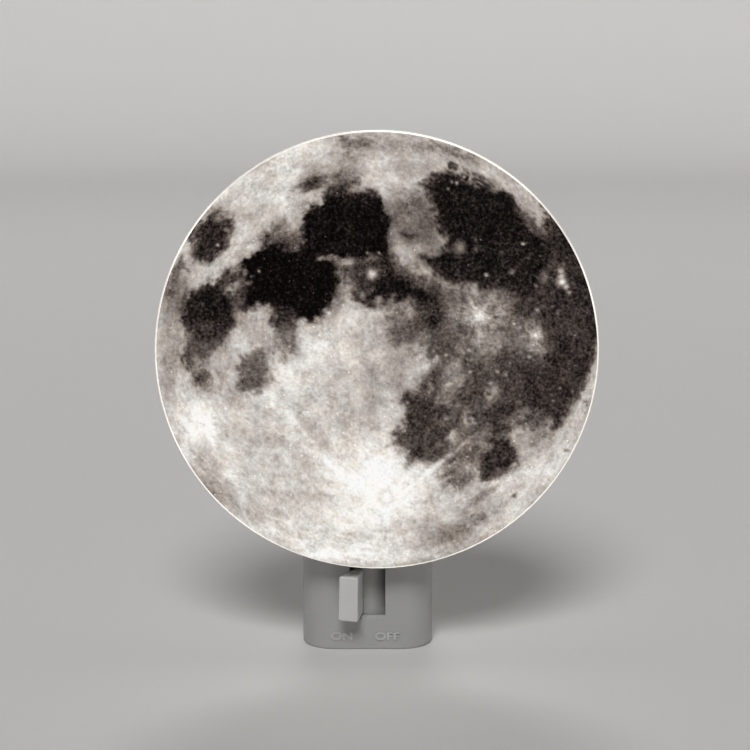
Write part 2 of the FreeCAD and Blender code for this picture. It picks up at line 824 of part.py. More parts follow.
def cover_screw(place):
    """One tapping screw with a crossed recess in its head."""
    head_back = place - Vec(0, fit_gap, 0)
    head_front = place - Vec(0, screw_head_height, 0)
    tip = place + Vec(0, cover_y - screw_length + overrun, 0)
    body = joined([rod(screw_head_radius, head_front, head_back),
                   rod(screw_radius, tip, head_front)])
    arm = screw_head_radius * screw_recess_share
    half = screw_recess_width / 2
    depth_y = -fit_gap - screw_recess_depth
    for reach_x, reach_z in ((arm, half), (half, arm)):
        slot = box(-reach_x, reach_x, depth_y, overrun, -reach_z, reach_z)
        slot.translate(place)
        body = body.cut(slot)
    return body


def disc_centre(y):
    """The disc's centre on a plane across the Y axis."""
    return Vec(disc_offset, y, disc_z)


def diffuser_disc():
    """The round opal plate."""
    plate = rod(disc_radius, disc_centre(film_back_y), disc_centre(disc_back_y))
    rims = [edge for edge in plate.Edges if edge.Closed and edge.BoundBox.YLength < fit_gap]
    return plate.makeFillet(plate_round, rims)


def moon_print():
    """The printed film on the plate's front."""
    return rod(disc_radius - film_margin, disc_centre(film_back_y - film_thickness),
               disc_centre(film_back_y))


def bracket_top_z():
    """The bracket's upper edge."""
    return rail_z + bracket_height


def hanger_bracket():
    """The arm behind the disc, with a dovetail groove that slides down on the rail."""
    block_half = slide_block_width / 2
    block_top = rail_top_z + rail_end_gap + bracket_plate
    plate = rounded_block(bracket_width / 2, bracket_front_y, bracket_back_y, rail_z,
                          bracket_top_z(), bracket_round)
    block = box(-block_half, block_half, bracket_back_y - bracket_plate / 2,
                front_y - slide_block_gap, rail_z, block_top)
    groove = dovetail(rail_gap, rail_z - overrun, rail_top_z + rail_end_gap)
    return joined([plate, block]).cut(groove)


def adhesive_pads():
    """Four foam pads between the bracket and the disc."""
    pads = []
    low = disc_z - sqrt(disc_radius ** 2 - bracket_width ** 2) + pad_edge
    for side in (-1, 1):
        x0 = side * (bracket_width / 2 - pad_edge)
        x1 = x0 - side * pad_width
        for z0 in (low, bracket_top_z() - bracket_round - pad_height):
            pads.append(box(min(x0, x1), max(x0, x1), disc_back_y, bracket_front_y,
                            z0, z0 + pad_height))
    return Part.makeCompound(pads)


def build():
    """Each piece by its node's name."""
    return {
        "front_shell": front_shell(),
        "rear_cover": rear_cover(),
        "cover_screws": Part.makeCompound([cover_screw(place) for place in boss_places()]),
        "blade_line": blade(1, line_blade_width),
        "blade_neutral": blade(-1, neutral_blade_width),
        "blade_rivets": Part.makeCompound([blade_rivet(-1), blade_rivet(1)]),
        "line_strip": line_strip(),
        "neutral_strip": neutral_strip(),
        "centre_contact": centre_contact(),
        "detent_spring": detent_spring(),
        "socket_cup": socket_cup(),
        "socket_screw_shell": socket_screw_shell(),
        "switch_rotor": switch_rotor(),
        "switch_wiper": wiper_at(0.0),
        "bulb_insulator": bulb_insulator(),
        "bulb_tip_contact": bulb_tip_contact(),
        "bulb_screw_shell": bulb_screw_shell(),
        "bulb_glass": bulb_glass(),
        "bulb_stem": bulb_stem(),
        "bulb_leads": bulb_leads(),
        "bulb_filament": bulb_filament(),
        "diffuser_disc": diffuser_disc(),
        "moon_print": moon_print(),
        "hanger_bracket": hanger_bracket(),
        "adhesive_pads": adhesive_pads(),
    }


def main():
    """Write one file for each piece."""
    os.makedirs("parts", exist_ok=True)
    for name, shape in build().items():
        shape.exportStep("parts/" + name + ".step")
        print(name, "solids:", len(shape.Solids), "valid:", shape.isValid())


main()
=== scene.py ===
from itertools import product
from math import cos, hypot, pi, radians, sin, sqrt

import bpy
import numpy as np
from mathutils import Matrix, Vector


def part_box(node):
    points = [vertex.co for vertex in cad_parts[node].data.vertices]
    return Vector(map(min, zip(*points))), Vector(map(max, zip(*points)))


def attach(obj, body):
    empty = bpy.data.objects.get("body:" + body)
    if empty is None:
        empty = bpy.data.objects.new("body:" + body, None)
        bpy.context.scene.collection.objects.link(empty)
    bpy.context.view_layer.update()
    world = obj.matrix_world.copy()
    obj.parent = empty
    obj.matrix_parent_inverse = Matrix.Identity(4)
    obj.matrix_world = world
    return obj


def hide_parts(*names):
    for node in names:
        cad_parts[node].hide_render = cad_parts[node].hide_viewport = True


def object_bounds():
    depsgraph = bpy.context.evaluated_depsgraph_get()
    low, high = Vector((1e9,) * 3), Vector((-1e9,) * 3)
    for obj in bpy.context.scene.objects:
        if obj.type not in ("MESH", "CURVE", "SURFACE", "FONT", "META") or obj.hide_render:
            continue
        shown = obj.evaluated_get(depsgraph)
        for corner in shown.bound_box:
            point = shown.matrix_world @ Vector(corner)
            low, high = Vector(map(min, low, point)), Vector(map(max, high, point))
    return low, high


bl_info = {
    "name": "Moon night light",
    "version": (1, 0, 0),
    "blender": (4, 5, 0),
    "location": "View3D > Sidebar > Night Light",
    "description": "Builds the finishes of a plug-in night light around its CAD frame",
    "category": "Add Mesh",
}

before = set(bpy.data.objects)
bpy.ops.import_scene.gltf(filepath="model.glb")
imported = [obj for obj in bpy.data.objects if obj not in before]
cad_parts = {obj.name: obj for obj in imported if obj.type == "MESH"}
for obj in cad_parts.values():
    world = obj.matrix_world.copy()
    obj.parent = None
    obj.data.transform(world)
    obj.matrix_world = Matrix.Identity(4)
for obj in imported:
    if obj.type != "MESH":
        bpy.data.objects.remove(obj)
CAD_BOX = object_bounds()
MM = 0.001

# Moon print: sizes in millimetres on the disc, tones from 0, black, to 1, white
DISC_RADIUS = 60.0
PRINT_TURN = 12.5                     # degrees clockwise
PRINT_ZOOM = 1.063                    # the moon is printed a little larger than the disc
LIMB_DEPTH = 1e-4                     # keeps the globe's points off its very edge
LATTICE = 32                          # random values along each side of the noise
TINY = 1e-6                           # keeps divisions off zero
GROUND_TONE = 0.72
SHORE = 2.2                           # half width of a shore, in units of its sea's softness
SHORE_CRISPNESS = 0.2
SEA_GAPS = 0.06                       # how much the blotches open the seas
ISLAND_EDGE = (0.5, 1.5)              # in units of an island's size
DULL_SEA, DARK_SEA = 0.26, 0.18       # tones of seas that dull no light, and that dull it most
SEA_DULLS = 0.5                       # how much light a dark sea takes from craters and rays
RAY_STRENGTH = 0.9
LIGHTEST, BLACKEST = 1.03, 0.03       # tones that light and ink come to
STREAK_LENGTH = 40                    # between changes along a streak
STREAK_CONTRAST = 1.9
RAY_STARTS, RAY_ENDS = (-0.06, 0.06), (0.65, 1.05)   # between shares of a long ray's length
CORE_LIGHT = 0.4
RING_SHADE = 0.2                      # of the duller ring round a crater's middle
RING_PLACE, RING_WIDTH = 0.75, 0.25   # in radii of the core
MOST_LIGHT = 1.1
STREWN_SPOTS, STREWN_SEED = 300, 77
STREWN_AREA = 0.95                    # share of the disc's face that they lie on
STREWN_RADII, STREWN_LIGHTS = (0.18, 0.42), (0.05, 0.28)
GRAIN = 0.045                         # strongest on open ground, a fifth of that on open sea

# Where its parts lie: x to the right and z up from the disc's middle, turns in degrees anticlockwise
GROUND = (  # x, z, half width, half height, turn, change of tone
    (-0.5, -37.8, 16.2, 13.5, 0, 0.14), (-12.8, -46.2, 24.3, 10.8, 0, 0.07),
    (-49.3, -19.7, 11.3, 9.2, 0, 0.13), (-20.8, -4.5, 13.5, 10.8, 0, 0.05), (-28.9, -12.8, 7, 5.4, 0, 0.08),
    (-10, -22.4, 13.5, 8.1, 0, 0.08), (-32.7, 42.5, 16.2, 8.6, 30, 0.08), (-23.1, 50.8, 13.5, 7, 30, 0.06),
    (-15.1, 55.3, 16.2, 4.3, 15, 0.05), (-36.6, 29.4, 4.3, 3.8, 0, 0.03), (-8.6, 5, 10.8, 6.5, 0, 0.07),
    (-35.9, -34.4, 8.1, 4.3, -20, 0.1), (-21.1, -54, 16.2, 4.3, -15, 0.06),
    (-17.2, 50.8, 4.9, 3.2, 0, -0.14), (-52, 18.9, 3.8, 4.3, 0, -0.2), (-55.1, 12.4, 3.2, 4.9, 0, -0.15),
    (-21.1, 35, 2.7, 3.2, 0, -0.08), (4.6, 37.5, 3.2, 7, 0, -0.16), (12.9, 23.8, 2.7, 2.2, 0, -0.15),
    (-8.5, 50, 3.8, 3.8, 0, -0.12), (-19.4, 46.8, 5.4, 3.8, 0, -0.1), (24.2, 51.1, 3.2, 2.2, 0, -0.1),
    (14.2, 30.8, 7, 7, 0, -0.22), (3, 30.8, 2.7, 7, 0, -0.14), (8.9, 30.8, 5.4, 5.4, 0, -0.12),
    (11.5, 41.5, 6.5, 7.6, 0, -0.14), (4, 46.8, 3.8, 3.8, 0, 0.06), (-0.5, 49.5, 5.4, 3.8, 0, 0.05),
    (32.8, 45.5, 13.5, 5.4, -40, -0.06), (25.5, -46.2, 16.2, 5.4, 35, -0.08),
    (22.8, -49, 6.5, 3.8, 20, -0.1), (-55.2, 6.4, 2.7, 9.2, 0, -0.08), (-57.3, -5.9, 3.2, 8.1, 0, -0.14),
    (-46, -36.1, 8.1, 3.2, -50, -0.1), (41.6, -23.8, 5.9, 4.3, 0, -0.15), (2.2, 54.8, 6.5, 2.7, 0, -0.12),
    (-5.8, 55.8, 8.1, 3.2, 0, -0.08), (7.3, 3.7, 7, 4.9, 0, -0.12), (4.9, -8.6, 9.7, 7.6, 0, -0.1),
    (-18.2, -29.9, 8.1, 3.2, -20, -0.04), (-21, -38.3, 11.9, 2.7, -4, -0.05),
    (-37.4, -40.5, 8.1, 3.2, -25, -0.05), (47.1, -29.9, 7, 4.3, 40, 0.1), (35.7, -35, 5.9, 3.2, 30, 0.1),
    (12.4, -49, 10.8, 5.4, 15, -0.11), (-11.8, 13.7, 2.4, 6.5, 0, -0.2), (-37.9, 11.3, 2.7, 2.7, 0, -0.15),
    (-45.6, 0.4, 3.2, 1.6, 0, -0.2), (-7.4, -56.3, 16.2, 2.7, 0, 0.1), (39.1, -43.4, 10.8, 3.8, 40, 0.09),
    (-16.4, 55.8, 8.1, 2.7, 15, 0.05), (-28.8, 9.1, 2.7, 5.4, 0, -0.12), (-23.7, 39.3, 2.7, 3.2, 0, 0.08),
    (-17.5, -0.4, 3.8, 4.9, 0, 0.07), (-26.8, -21.1, 3.8, 5.4, 0, 0.05), (8.4, 10.8, 2.2, 2.2, 0, 0.1),
    (-17.6, -21.6, 2.4, 7, 25, -0.08), (-45, -37.2, 3.8, 1.6, -45, -0.08), (-4, -16.9, 5.9, 4.9, 0, -0.09),
    (-18.2, -39.1, 6.5, 3.8, 0, -0.05), (-10.1, -55.2, 10.8, 3.2, 0, 0.05), (-48, -19.4, 3.6, 4.5, 0, 0.22),
    (0.3, -32.2, 3.8, 3.8, 0, 0.1), (10.4, -44.8, 5.9, 5.9, 0, -0.05), (-35.2, 37.5, 4.3, 2.2, 0, -0.09),
    (-34.7, 30.2, 2.4, 1.1, 28, -0.12), (11, 26.5, 2.2, 1.6, 0, 0.12), (-25.1, -1, 2.2, 2.2, 0, 0.08),
    (-23.3, -16.4, 2.7, 2.2, 0, -0.09), (-0.2, 45.7, 1.6, 2.2, 0, -0.14), (3.8, 43.3, 1.4, 2.4, 0, 0.1),
    (14.7, 37.7, 1.4, 2.4, 0, -0.1), (6.7, 39.3, 1.1, 2.2, 0, -0.1), (36.6, -36.1, 2.4, 1.9, 0, 0.1),
    (-12.4, -9.5, 2.4, 2.2, 0, 0.06), (-13.5, -20, 2.7, 1.9, 0, 0.07), (-28.4, -15.3, 2.7, 2.2, 0, 0.08),
    (-38.6, -8.6, 1.6, 2.4, 0, -0.12), (-11, 11.8, 2.7, 1.6, 30, -0.08), (-51.5, 18.6, 2.2, 2.2, 0, -0.08),
)
OUTLINES = (  # tone, cover, softness, and x, z of each point round the sea
    (0.15, 0.97, 0.8, -41, 39.1, -38.1, 36.9, -37.6, 35, -38.4, 32.9, -39.8, 30.5, -41.7, 27.5, -44.4, 25.4,
     -46.3, 24.8, -48.7, 25.9, -49.7, 28.1, -49.2, 30.2, -50, 31.8, -49.4, 34.2, -46.7, 37.2, -44, 39.1),
    (0.1, 0.97, 0.9, -50.2, 17.3, -47.5, 17.8, -44.8, 19.2, -43.2, 18.9, -41.6, 17.3, -39.7, 15.6, -38.9,
     13.2, -38.4, 9.7, -40.1, 6.4, -41.7, 4.8, -41.7, 3.4, -44.4, 3.7, -46.9, 2.9, -48.7, 3.7, -50.9, 6.4,
     -52.7, 9.7, -52.4, 13.2, -51.5, 15.6),
    (0.17, 1, 0.8, -45.9, 17.3, -44, 20, -41.2, 22.1, -38.3, 23.5, -35.6, 22.7, -35.9, 20, -38.9, 19.4,
     -41.6, 17.8),
    (0.25, 0.92, 0.9, -51.2, 4.2, -48.8, 2.9, -45, 0.7, -45.9, -2.3, -45.4, -5.9, -45.7, -8.9, -47.9, -10.3,
     -49.7, -7.8, -50.8, -5.1, -52.3, -2.3, -52.6, 0.9),
    (0.33, 0.95, 0.8, -37.2, -0.7, -34.2, 0.9, -31, 1.2, -28.8, -0.1, -28.6, -2.3, -28.3, -4.3, -27.8, -6.4,
     -29.2, -9.2, -32.2, -10.6, -34.9, -10.8, -37, -10.3, -38.1, -8.4, -37.8, -5.6, -38, -2.9),
    (0.03, 1, 0.8, -30.7, 32.4, -28.3, 31.3, -27, 29.1, -24.3, 27.8, -21.1, 28.6, -18.4, 28.1, -15.8, 26.2,
     -12.6, 25.1, -11, 23.2, -10.4, 20, -11, 16.7, -12.6, 13.7, -15.3, 10.5, -19.1, 8.6, -21.5, 9.1, -23.9,
     11, -26.6, 12.1, -28.7, 12.9, -32.5, 12.7, -36, 13.5, -37, 16.7, -34.8, 19.2, -34.6, 21.3, -36.7, 23.8,
     -34, 26.2, -32.3, 27.8, -31.5, 30),
    (0.12, 0.95, 0.9, -29.5, 15.1, -24.4, 12.9, -22.3, 9.1, -23.7, 5.9, -27.2, 5.3, -29.6, 9.7),
    (0.41, 0.88, 1.4, -28.2, 7.5, -22.3, 7.5, -20.7, 2.6, -20.5, -0.1, -24.8, -1.2, -28.3, 0.4, -28.8, 3.1),
    (0.06, 1, 0.8, -13, 41.5, -10.9, 42.8, -7.2, 43.6, -4, 44.1, -0.2, 44.4, 3, 42.8, 4.3, 40.1, 5.4, 37.5,
     4.8, 34.5, 4, 31.3, 4.6, 28.6, 2.7, 26.5, 0, 27, -1.3, 27.3, -4, 25.6, -7.2, 25.1, -10.4, 24.8, -13.6,
     26.2, -16.3, 27.5, -19, 29.1, -20.8, 31.8, -20, 34.5, -18.9, 38, -16.5, 40.1),
    (0.05, 1, 0.8, -19.5, 30.8, -12.5, 28.1, -12, 24.8, -17.4, 25.9, -21.1, 26.5, -21.6, 28.9),
    (0.2, 0.95, 1.1, -21, 44.9, -18.3, 47.9, -15.7, 48.9, -14.1, 46.8, -15.7, 44.1, -18.9, 43.3),
    (0.29, 0.9, 1.1, -13, 46.5, -9.8, 48.4, -6.6, 47.9, -4.5, 48.4, -5, 46.3, -7.2, 44.7, -9.8, 44.1, -12.5,
     44.1),
    (0.16, 0.95, 0.8, -14.4, 42.8, -12.7, 45.7, -8.8, 46.5, -7.4, 43.6, -9.3, 41.5, -13.3, 40.7),
    (0.4, 0.95, 1.1, -29.1, 34.5, -26.4, 35.9, -24, 34.5, -24.3, 31.8, -22.7, 30.5, -25.7, 28.6, -28.3,
     30.5),
    (0.32, 0.95, 1.1, -25.4, 32.4, -20.5, 31.8, -19, 29.1, -22.7, 27.3, -25.9, 28.9),
    (0.39, 0.9, 0.9, -9.8, 58.5, -5.8, 58.7, -1.3, 58.5, 0.3, 57.4, -1.8, 55.8, -6.6, 55.3, -9.3, 55.8),
    (0.49, 0.8, 1.1, -9.3, 55.3, -6.6, 54.8, -7.1, 52.6, -9, 52.1),
    (0.43, 0.9, 0.8, 9.3, 56.4, 14.1, 56.9, 18.1, 56.4, 22.1, 55.3, 26.1, 53.7, 29.5, 51.6, 26.9, 51.1,
     22.6, 52.6, 18.1, 54.2, 12.8, 54.2, 9.9, 54.8),
    (0.1, 0.99, 0.8, 14.7, 48.4, 18.1, 48.9, 20.8, 48.4, 24.8, 49.2, 26.9, 48.4, 29.6, 46.5, 32.3, 44.4,
     34.9, 44.1, 36.8, 42.3, 37.6, 39.6, 39, 37.2, 40.9, 34, 42.8, 32.1, 45.8, 30.8, 46.9, 28.1, 46.4, 24.8,
     45.1, 21.3, 43.8, 17.3, 39.8, 14, 36.3, 16.7, 33.1, 17.3, 30.4, 17.3, 26.3, 18.6, 22.8, 18.6, 19.6,
     18.9, 16.9, 20.5, 14.2, 23.2, 12.9, 25.9, 15.6, 27, 18.5, 27.8, 17.7, 29.1, 18.5, 30.8, 18.2, 31.8,
     16.9, 33.4, 15.8, 36.1, 15.5, 39.9, 14.4, 42.5, 12.5, 44.7, 11.7, 46.8),
    (0.19, 0.9, 0.7, 7.3, 32.4, 9.4, 32.9, 11, 31.3, 9.9, 29.1, 7.8, 30),
    (0.29, 0.8, 1.4, 6.2, 41.5, 9.4, 42, 9.9, 39.3, 7.2, 38.8),
    (0.09, 0.95, 1.1, -0.8, 22.7, 3.5, 24.3, 7.3, 22.7, 10, 20.2, 11.3, 16.7, 8.9, 14, 5.1, 13.7, 0.8, 12.7,
     -2.7, 12.4, -5.6, 14.8, -5.6, 18.9, -2.9, 21.1),
    (0.03, 0.98, 0.8, -0.2, 18.9, 4.1, 19.7, 7.8, 18.9, 8.4, 16.7, 4.1, 15.9, -0.2, 15.9),
    (0.12, 0.95, 1.1, -7.2, 25.9, -4, 25.9, -0.8, 26.7, 4.1, 25.9, 5.7, 23.2, 0.8, 22.7, -4, 22.1, -6.7,
     23.2),
    (0.02, 0.98, 0.7, 9.4, 17.3, 11, 18.1, 13.2, 17.3, 13.2, 15.1, 11.6, 13.7, 9.7, 14.6),
    (0.06, 0.98, 0.7, 13.8, 10.2, 15.9, 11.3, 17, 8.6, 15.7, 6.4, 13.8, 7.5),
    (0.11, 0.95, 0.8, 11, 16.7, 15.9, 17.3, 17.5, 13.2, 17.5, 8.6, 16.5, 5.3, 13.8, 5.9, 12.7, 10.2, 11.1,
     13.7),
    (0.25, 0.95, 1.4, 16.9, 17.3, 25, 18.4, 36.3, 17.3, 42.5, 15.1, 45.2, 9.1, 46.7, 2.3, 44.1, -3.2, 33.3,
     -2.9, 22.5, -2.9, 18.4, -3.4, 13, -1.8, 11.6, 2.3, 13, 6.4, 15.9, 10.5),
    (0.24, 0.9, 1.1, 13.8, 2.6, 19.7, 3.7, 23, 2, 22.4, 0.4, 17, -1.2, 14.3, -0.1),
    (0.16, 0.98, 0.9, 44.3, 40.7, 46.7, 38.8, 49.4, 35.6, 52.2, 31.8, 54.9, 26.7, 57.2, 21.3, 58.9, 14.6,
     60.6, 6.4, 60.2, 0.9, 58.4, -3.4, 57.6, -6.7, 56.1, -10, 53.9, -13.3, 52.1, -16.1, 50.2, -19.4, 48.1,
     -21.3, 46.2, -18.8, 44.2, -16.6, 41.5, -15.5, 39.3, -15, 37.4, -12.8, 38.7, -8.6, 44.1, -3.2, 45.4,
     0.9, 44.5, 6.4, 42.8, 10.5, 41.1, 14.6, 43.8, 17.3, 45.9, 21.3, 45.3, 26.7, 44.1, 31.3, 45.7, 34.8,
     44.9, 38.3),
    (0.2, 0.97, 1.2, 38.7, -8.6, 37.4, -12.8, 39.3, -15, 36.1, -18.3, 33.4, -20.5, 30.7, -18.8, 27.4, -17.7,
     26.3, -15.5, 29.6, -12.8, 30.1, -9.5, 33.3, -5.9, 35.9, -1.8, 40, -1.2, 44, -2.3),
    (0.2, 0.95, 1.2, 22.5, -3.2, 26.5, -1.8, 30.6, -3.2, 33.3, -5.1, 30.6, -9.5, 29.6, -12.8, 26.6, -15.5,
     23.1, -15, 19.8, -13.3, 19.3, -10.6, 22, -8.6, 23.8, -6.7),
    (0.2, 0.98, 0.9, 7.1, -10.3, 9.2, -11.4, 12.8, -10.8, 16.5, -10, 16, -12.8, 19.3, -13.3, 22.8, -14.4,
     24.7, -16.1, 24.7, -19.4, 25.3, -21.3, 22.3, -23.3, 20.4, -24.4, 19.6, -26.9, 18, -29.1, 14.5, -31.1,
     10.9, -30.5, 9, -29.1, 7.4, -26.6, 4.7, -24.7, 4.4, -22.7, 6.6, -21.3, 8.2, -20.8, 7.9, -17.7, 7.4,
     -15.5, 6.5, -13.1),
    (0.21, 0.9, 1.1, 10.3, -10.8, 10.9, -7.8, 13.6, -5.4, 17.6, -2.3, 19.2, -3.4, 18.7, -7.3, 17.1, -11.1,
     14.4, -11.7),
    (0.27, 0.85, 1.6, 33.2, 2.3, 37.2, 3.7, 39.9, 2.3, 40.8, -0.7, 37.3, -1.8, 33.2, -0.7),
    (0.28, 0.85, 1.6, 27.8, 0.4, 33.2, 0.9, 34.6, -5.1, 30.6, -5.1, 27.3, -2.9),
    (0.2, 0.9, 1.1, 32.7, 1.5, 41.3, 0.4, 45.4, -4.5, 44.2, -12.2, 37.7, -13.3, 32.2, -8.4, 29.5, -2.9),
    (0.16, 0.98, 0.8, 30.2, -23.3, 33.2, -23.6, 36.2, -24.4, 38.4, -25.5, 39.2, -27.7, 38.7, -29.9, 36.5,
     -31.1, 34.9, -33, 32.8, -35, 29.8, -35.5, 27.6, -33.6, 27, -30.5, 28.3, -28, 29.7, -25.5),
    (0.19, 0.95, 0.8, 30.1, -17.7, 34.8, -18.3, 36.7, -20.5, 34.8, -23.3, 32.1, -23.8, 30.2, -21.1),
    (0.25, 0.92, 1.4, 18.8, -26.6, 22.6, -24.9, 26.4, -23.8, 28, -25.5, 26.4, -28.3, 22.6, -29.9, 21, -32.2,
     21.6, -35.5, 19.4, -36.1, 16.7, -33.8, 18.3, -29.9),
    (0.37, 0.8, 1.1, 42.9, -21.1, 46.4, -19.7, 46.2, -23.8, 44.3, -25.5, 42.7, -23.8),
    (0.2, 0.85, 0.8, -40, 18.4, -35.4, 20, -34.6, 12.9, -37.3, 11.3, -40, 14),
    (0.32, 0.85, 1.6, 24.2, -19.7, 28, -20.5, 30.2, -22.7, 28.6, -26.1, 29.2, -29.9, 27.6, -35, 23.2, -37.8,
     18.9, -36.6, 17.2, -32.2, 19.9, -27.2, 22, -23.3),
    (0.22, 0.92, 1.6, -11.2, 24.8, -6.7, 23.2, -2.9, 23.2, 2.2, 25.9, 7.5, 24.8, 12.6, 21.6, 16.9, 18.9,
     15.9, 15.1, 11.6, 16.2, 7.3, 18.9, 2.2, 22.1, -2.4, 18.9, -4.5, 14.6, -6.1, 15.6, -7.7, 21.1, -11.5,
     21.1),
    (0.32, 0.85, 1.9, 6.7, 44.1, 13.1, 44.7, 15.8, 41.5, 16.9, 35.6, 13.7, 33.4, 9.4, 34.5, 5.6, 37.7),
    (0.33, 0.8, 1.9, 1.9, 12.9, 8.9, 13.5, 13.8, 10.2, 14.3, 4.8, 9.5, 2, 4.1, 3.1, 0.8, 8),
    (0.4, 0.8, 1.1, -11.5, 22.1, -7.2, 22.1, -5.6, 18.9, -6.7, 15.6, -9.9, 13.7, -12.3, 12.9, -13.1, 15.1,
     -10.4, 17.8),
    (0.21, 0.94, 1.1, 36.6, -15.8, 41.5, -15.5, 46.4, -16.6, 45.6, -19.4, 41.6, -20.5, 37.5, -20),
    (0.18, 0.95, 0.8, 9.4, 13.5, 12.7, 14, 14.6, 11.3, 14.6, 5.9, 10, 4.2, 8.9, 8.6),
    (0.24, 0.9, 0.8, 4.1, 7.2, 8.4, 8.3, 9.7, 5.3, 8.1, 2.6, 5.2, 2, 3.3, 4.8),
    (0.24, 0.85, 1.6, 15.9, 16.7, 21.3, 15.6, 22.9, 11.3, 21.9, 3.7, 17, 2.3, 14.9, 6.4),
    (0.15, 0.95, 1.1, 36.3, 18.9, 43.8, 18.9, 45.4, 14.6, 42.3, 9.7, 39.3, 7.2, 37.2, 9.1, 36.9, 13.5),
    (0.32, 0.9, 0.9, -51.9, 8.6, -40.1, 8.6, -40.7, 2.3, -43.9, 0.1, -48.3, 0.1, -50.9, 2.9),
    (0.1, 0.95, 0.8, -30.7, 31.8, -28, 32.9, -24.8, 31, -22.7, 28.9, -24.9, 27, -29.7, 27.5),
    (0.37, 0.85, 1.4, 18.1, -2.3, 23, -1.8, 24.1, -7.3, 20.4, -12.8, 16.6, -12.2, 17.3, -7.3),
    (0.25, 0.95, 0.4, 56.6, -12.8, 57.7, -13.9, 57, -16.6, 55.9, -16.9, 56.1, -14.4),
    (0.2, 0.92, 1.1, 23.6, -15.8, 28, -16.4, 30.7, -17.7, 30.5, -21.6, 27.5, -23, 24.7, -21.6),
    (0.18, 0.9, 0.8, 39.3, 37.7, 41.4, 37.7, 44.1, 34.5, 45.8, 31.3, 43.6, 31.3, 40.9, 34),
)
SEAS = (  # x, z, half width, half height, turn, cover, tone, softness
    (19.7, 50.5, 1.6, 1.1, -10, 0.95, 0.22, 0.3), (28.7, -39.4, 3.8, 1.4, 30, 0.65, 0.42, 0.7),
    (27.7, -46.4, 3.2, 1.1, 35, 0.6, 0.45, 0.7), (29.8, -46.2, 1.4, 0.8, 30, 0.6, 0.36, 0.5),
    (33.6, -42.8, 2.2, 1.1, 35, 0.55, 0.5, 0.7), (18.7, -51.2, 7, 1.4, 25, 0.55, 0.48, 0.7),
    (14.5, -40.5, 4.3, 0.8, 6, 0.4, 0.55, 0.8), (36.8, -35.5, 3.8, 1.1, 35, 0.4, 0.55, 0.7),
    (21.4, -49, 3.8, 1.1, 30, 0.5, 0.5, 0.7), (-53.3, 22.7, 1.4, 3.5, -18, 0.75, 0.25, 0.6),
    (-54.5, 17.3, 1.4, 3.5, -12, 0.6, 0.28, 0.6), (-53.2, 13.2, 1.9, 3.2, 0, 0.5, 0.3, 0.6),
    (-50.9, 22.9, 0.8, 0.5, 0, 0.6, 0.3, 0.6), (-53, 6.4, 1.6, 4.3, 0, 0.2, 0.4, 0.8),
    (-40.6, -36.4, 3.2, 1.4, -35, 0.4, 0.6, 0.8), (-44.7, -38.3, 2.2, 1.4, -45, 0.5, 0.55, 0.8),
    (-38.7, -40.5, 2.4, 1.4, -30, 0.35, 0.6, 0.8), (-49.7, -28.3, 2.2, 2.7, 30, 0.35, 0.6, 0.8),
    (-55.4, -5.9, 2.4, 4.1, 0, 0.45, 0.48, 0.8), (-55.8, -1.8, 1.9, 2.2, 0, 0.45, 0.45, 0.8),
    (-19.8, -17.7, 4.3, 6.5, 25, 0.12, 0.6, 0.8), (-7.5, -13.9, 3.8, 3.8, 0, 0.16, 0.6, 0.8),
    (-1.9, -7, 4.9, 4.3, 0, 0.2, 0.55, 0.8), (-15.7, -21.9, 3.8, 3.2, 0, 0.08, 0.6, 0.8),
    (-46.5, -28, 3.8, 2.7, -40, 0.2, 0.55, 0.8), (-41.9, -6.7, 1.4, 2.4, 0, 0.5, 0.4, 0.8),
    (-44.1, -9.5, 2.4, 1.6, 0, 0.5, 0.42, 0.8), (-50.6, -11.7, 2.2, 1.6, 0, 0.4, 0.5, 0.8),
    (-32.4, -11.1, 1.4, 1.1, 0, 0.6, 0.35, 0.6), (-38.7, -11.7, 1.9, 1.9, 0, 0.5, 0.5, 0.8),
    (38, -39.7, 0.5, 0.4, 0, 0.8, 0.4, 0.6), (51.7, -26.1, 0.5, 0.7, 0, 0.8, 0.4, 0.6),
    (9.8, -29.4, 1.4, 1.1, -30, 0.5, 0.3, 0.6), (20.5, -34.4, 1.6, 1.6, 0, 0.5, 0.25, 0.6),
    (21.6, 7.2, 2.2, 1.1, 0, 0.6, 0.2, 0.6), (0.9, -20.2, 2.4, 2.4, 0, 0.25, 0.6, 0.8),
    (5.2, -13.9, 1.9, 1.9, 0, 0.2, 0.6, 0.8), (45.7, -25.2, 1.4, 2.2, -20, 0.4, 0.4, 0.7),
    (-17, 44.4, 3, 1.1, 20, 0.6, 0.3, 0.7), (9.6, -31.6, 1.6, 1.1, 0, 0.6, 0.4, 0.7),
    (3.8, -26.3, 1.9, 1.4, 0, 0.4, 0.4, 0.8), (16.1, 18.6, 1.6, 1.4, 0, 0.5, 0.15, 0.7),
    (-32.3, 30, 3.5, 1.1, 15, 0.4, 0.4, 0.8), (10.3, -6.2, 2.2, 1.9, 0, 0.3, 0.45, 0.8),
    (19.8, -11.9, 1.6, 1.4, 0, 0.4, 0.25, 0.8), (20.4, -28, 1.6, 1.1, 30, 0.3, 0.25, 0.8),
    (44.5, -20, 1.4, 1.9, 0, 0.35, 0.3, 0.8), (23.4, 48.4, 1.4, 1.1, 0, 0.4, 0.2, 0.7),
    (17.7, 32.9, 1.1, 1.4, 0, 0.5, 0.15, 0.7), (43.5, 38.5, 1.6, 1.6, 0, 0.4, 0.3, 0.8),
    (-43.9, -0.7, 1.6, 1.6, 0, 0.35, 0.35, 0.8), (37.7, 8.6, 1.4, 2.2, 0, 0.3, 0.2, 0.8),
)
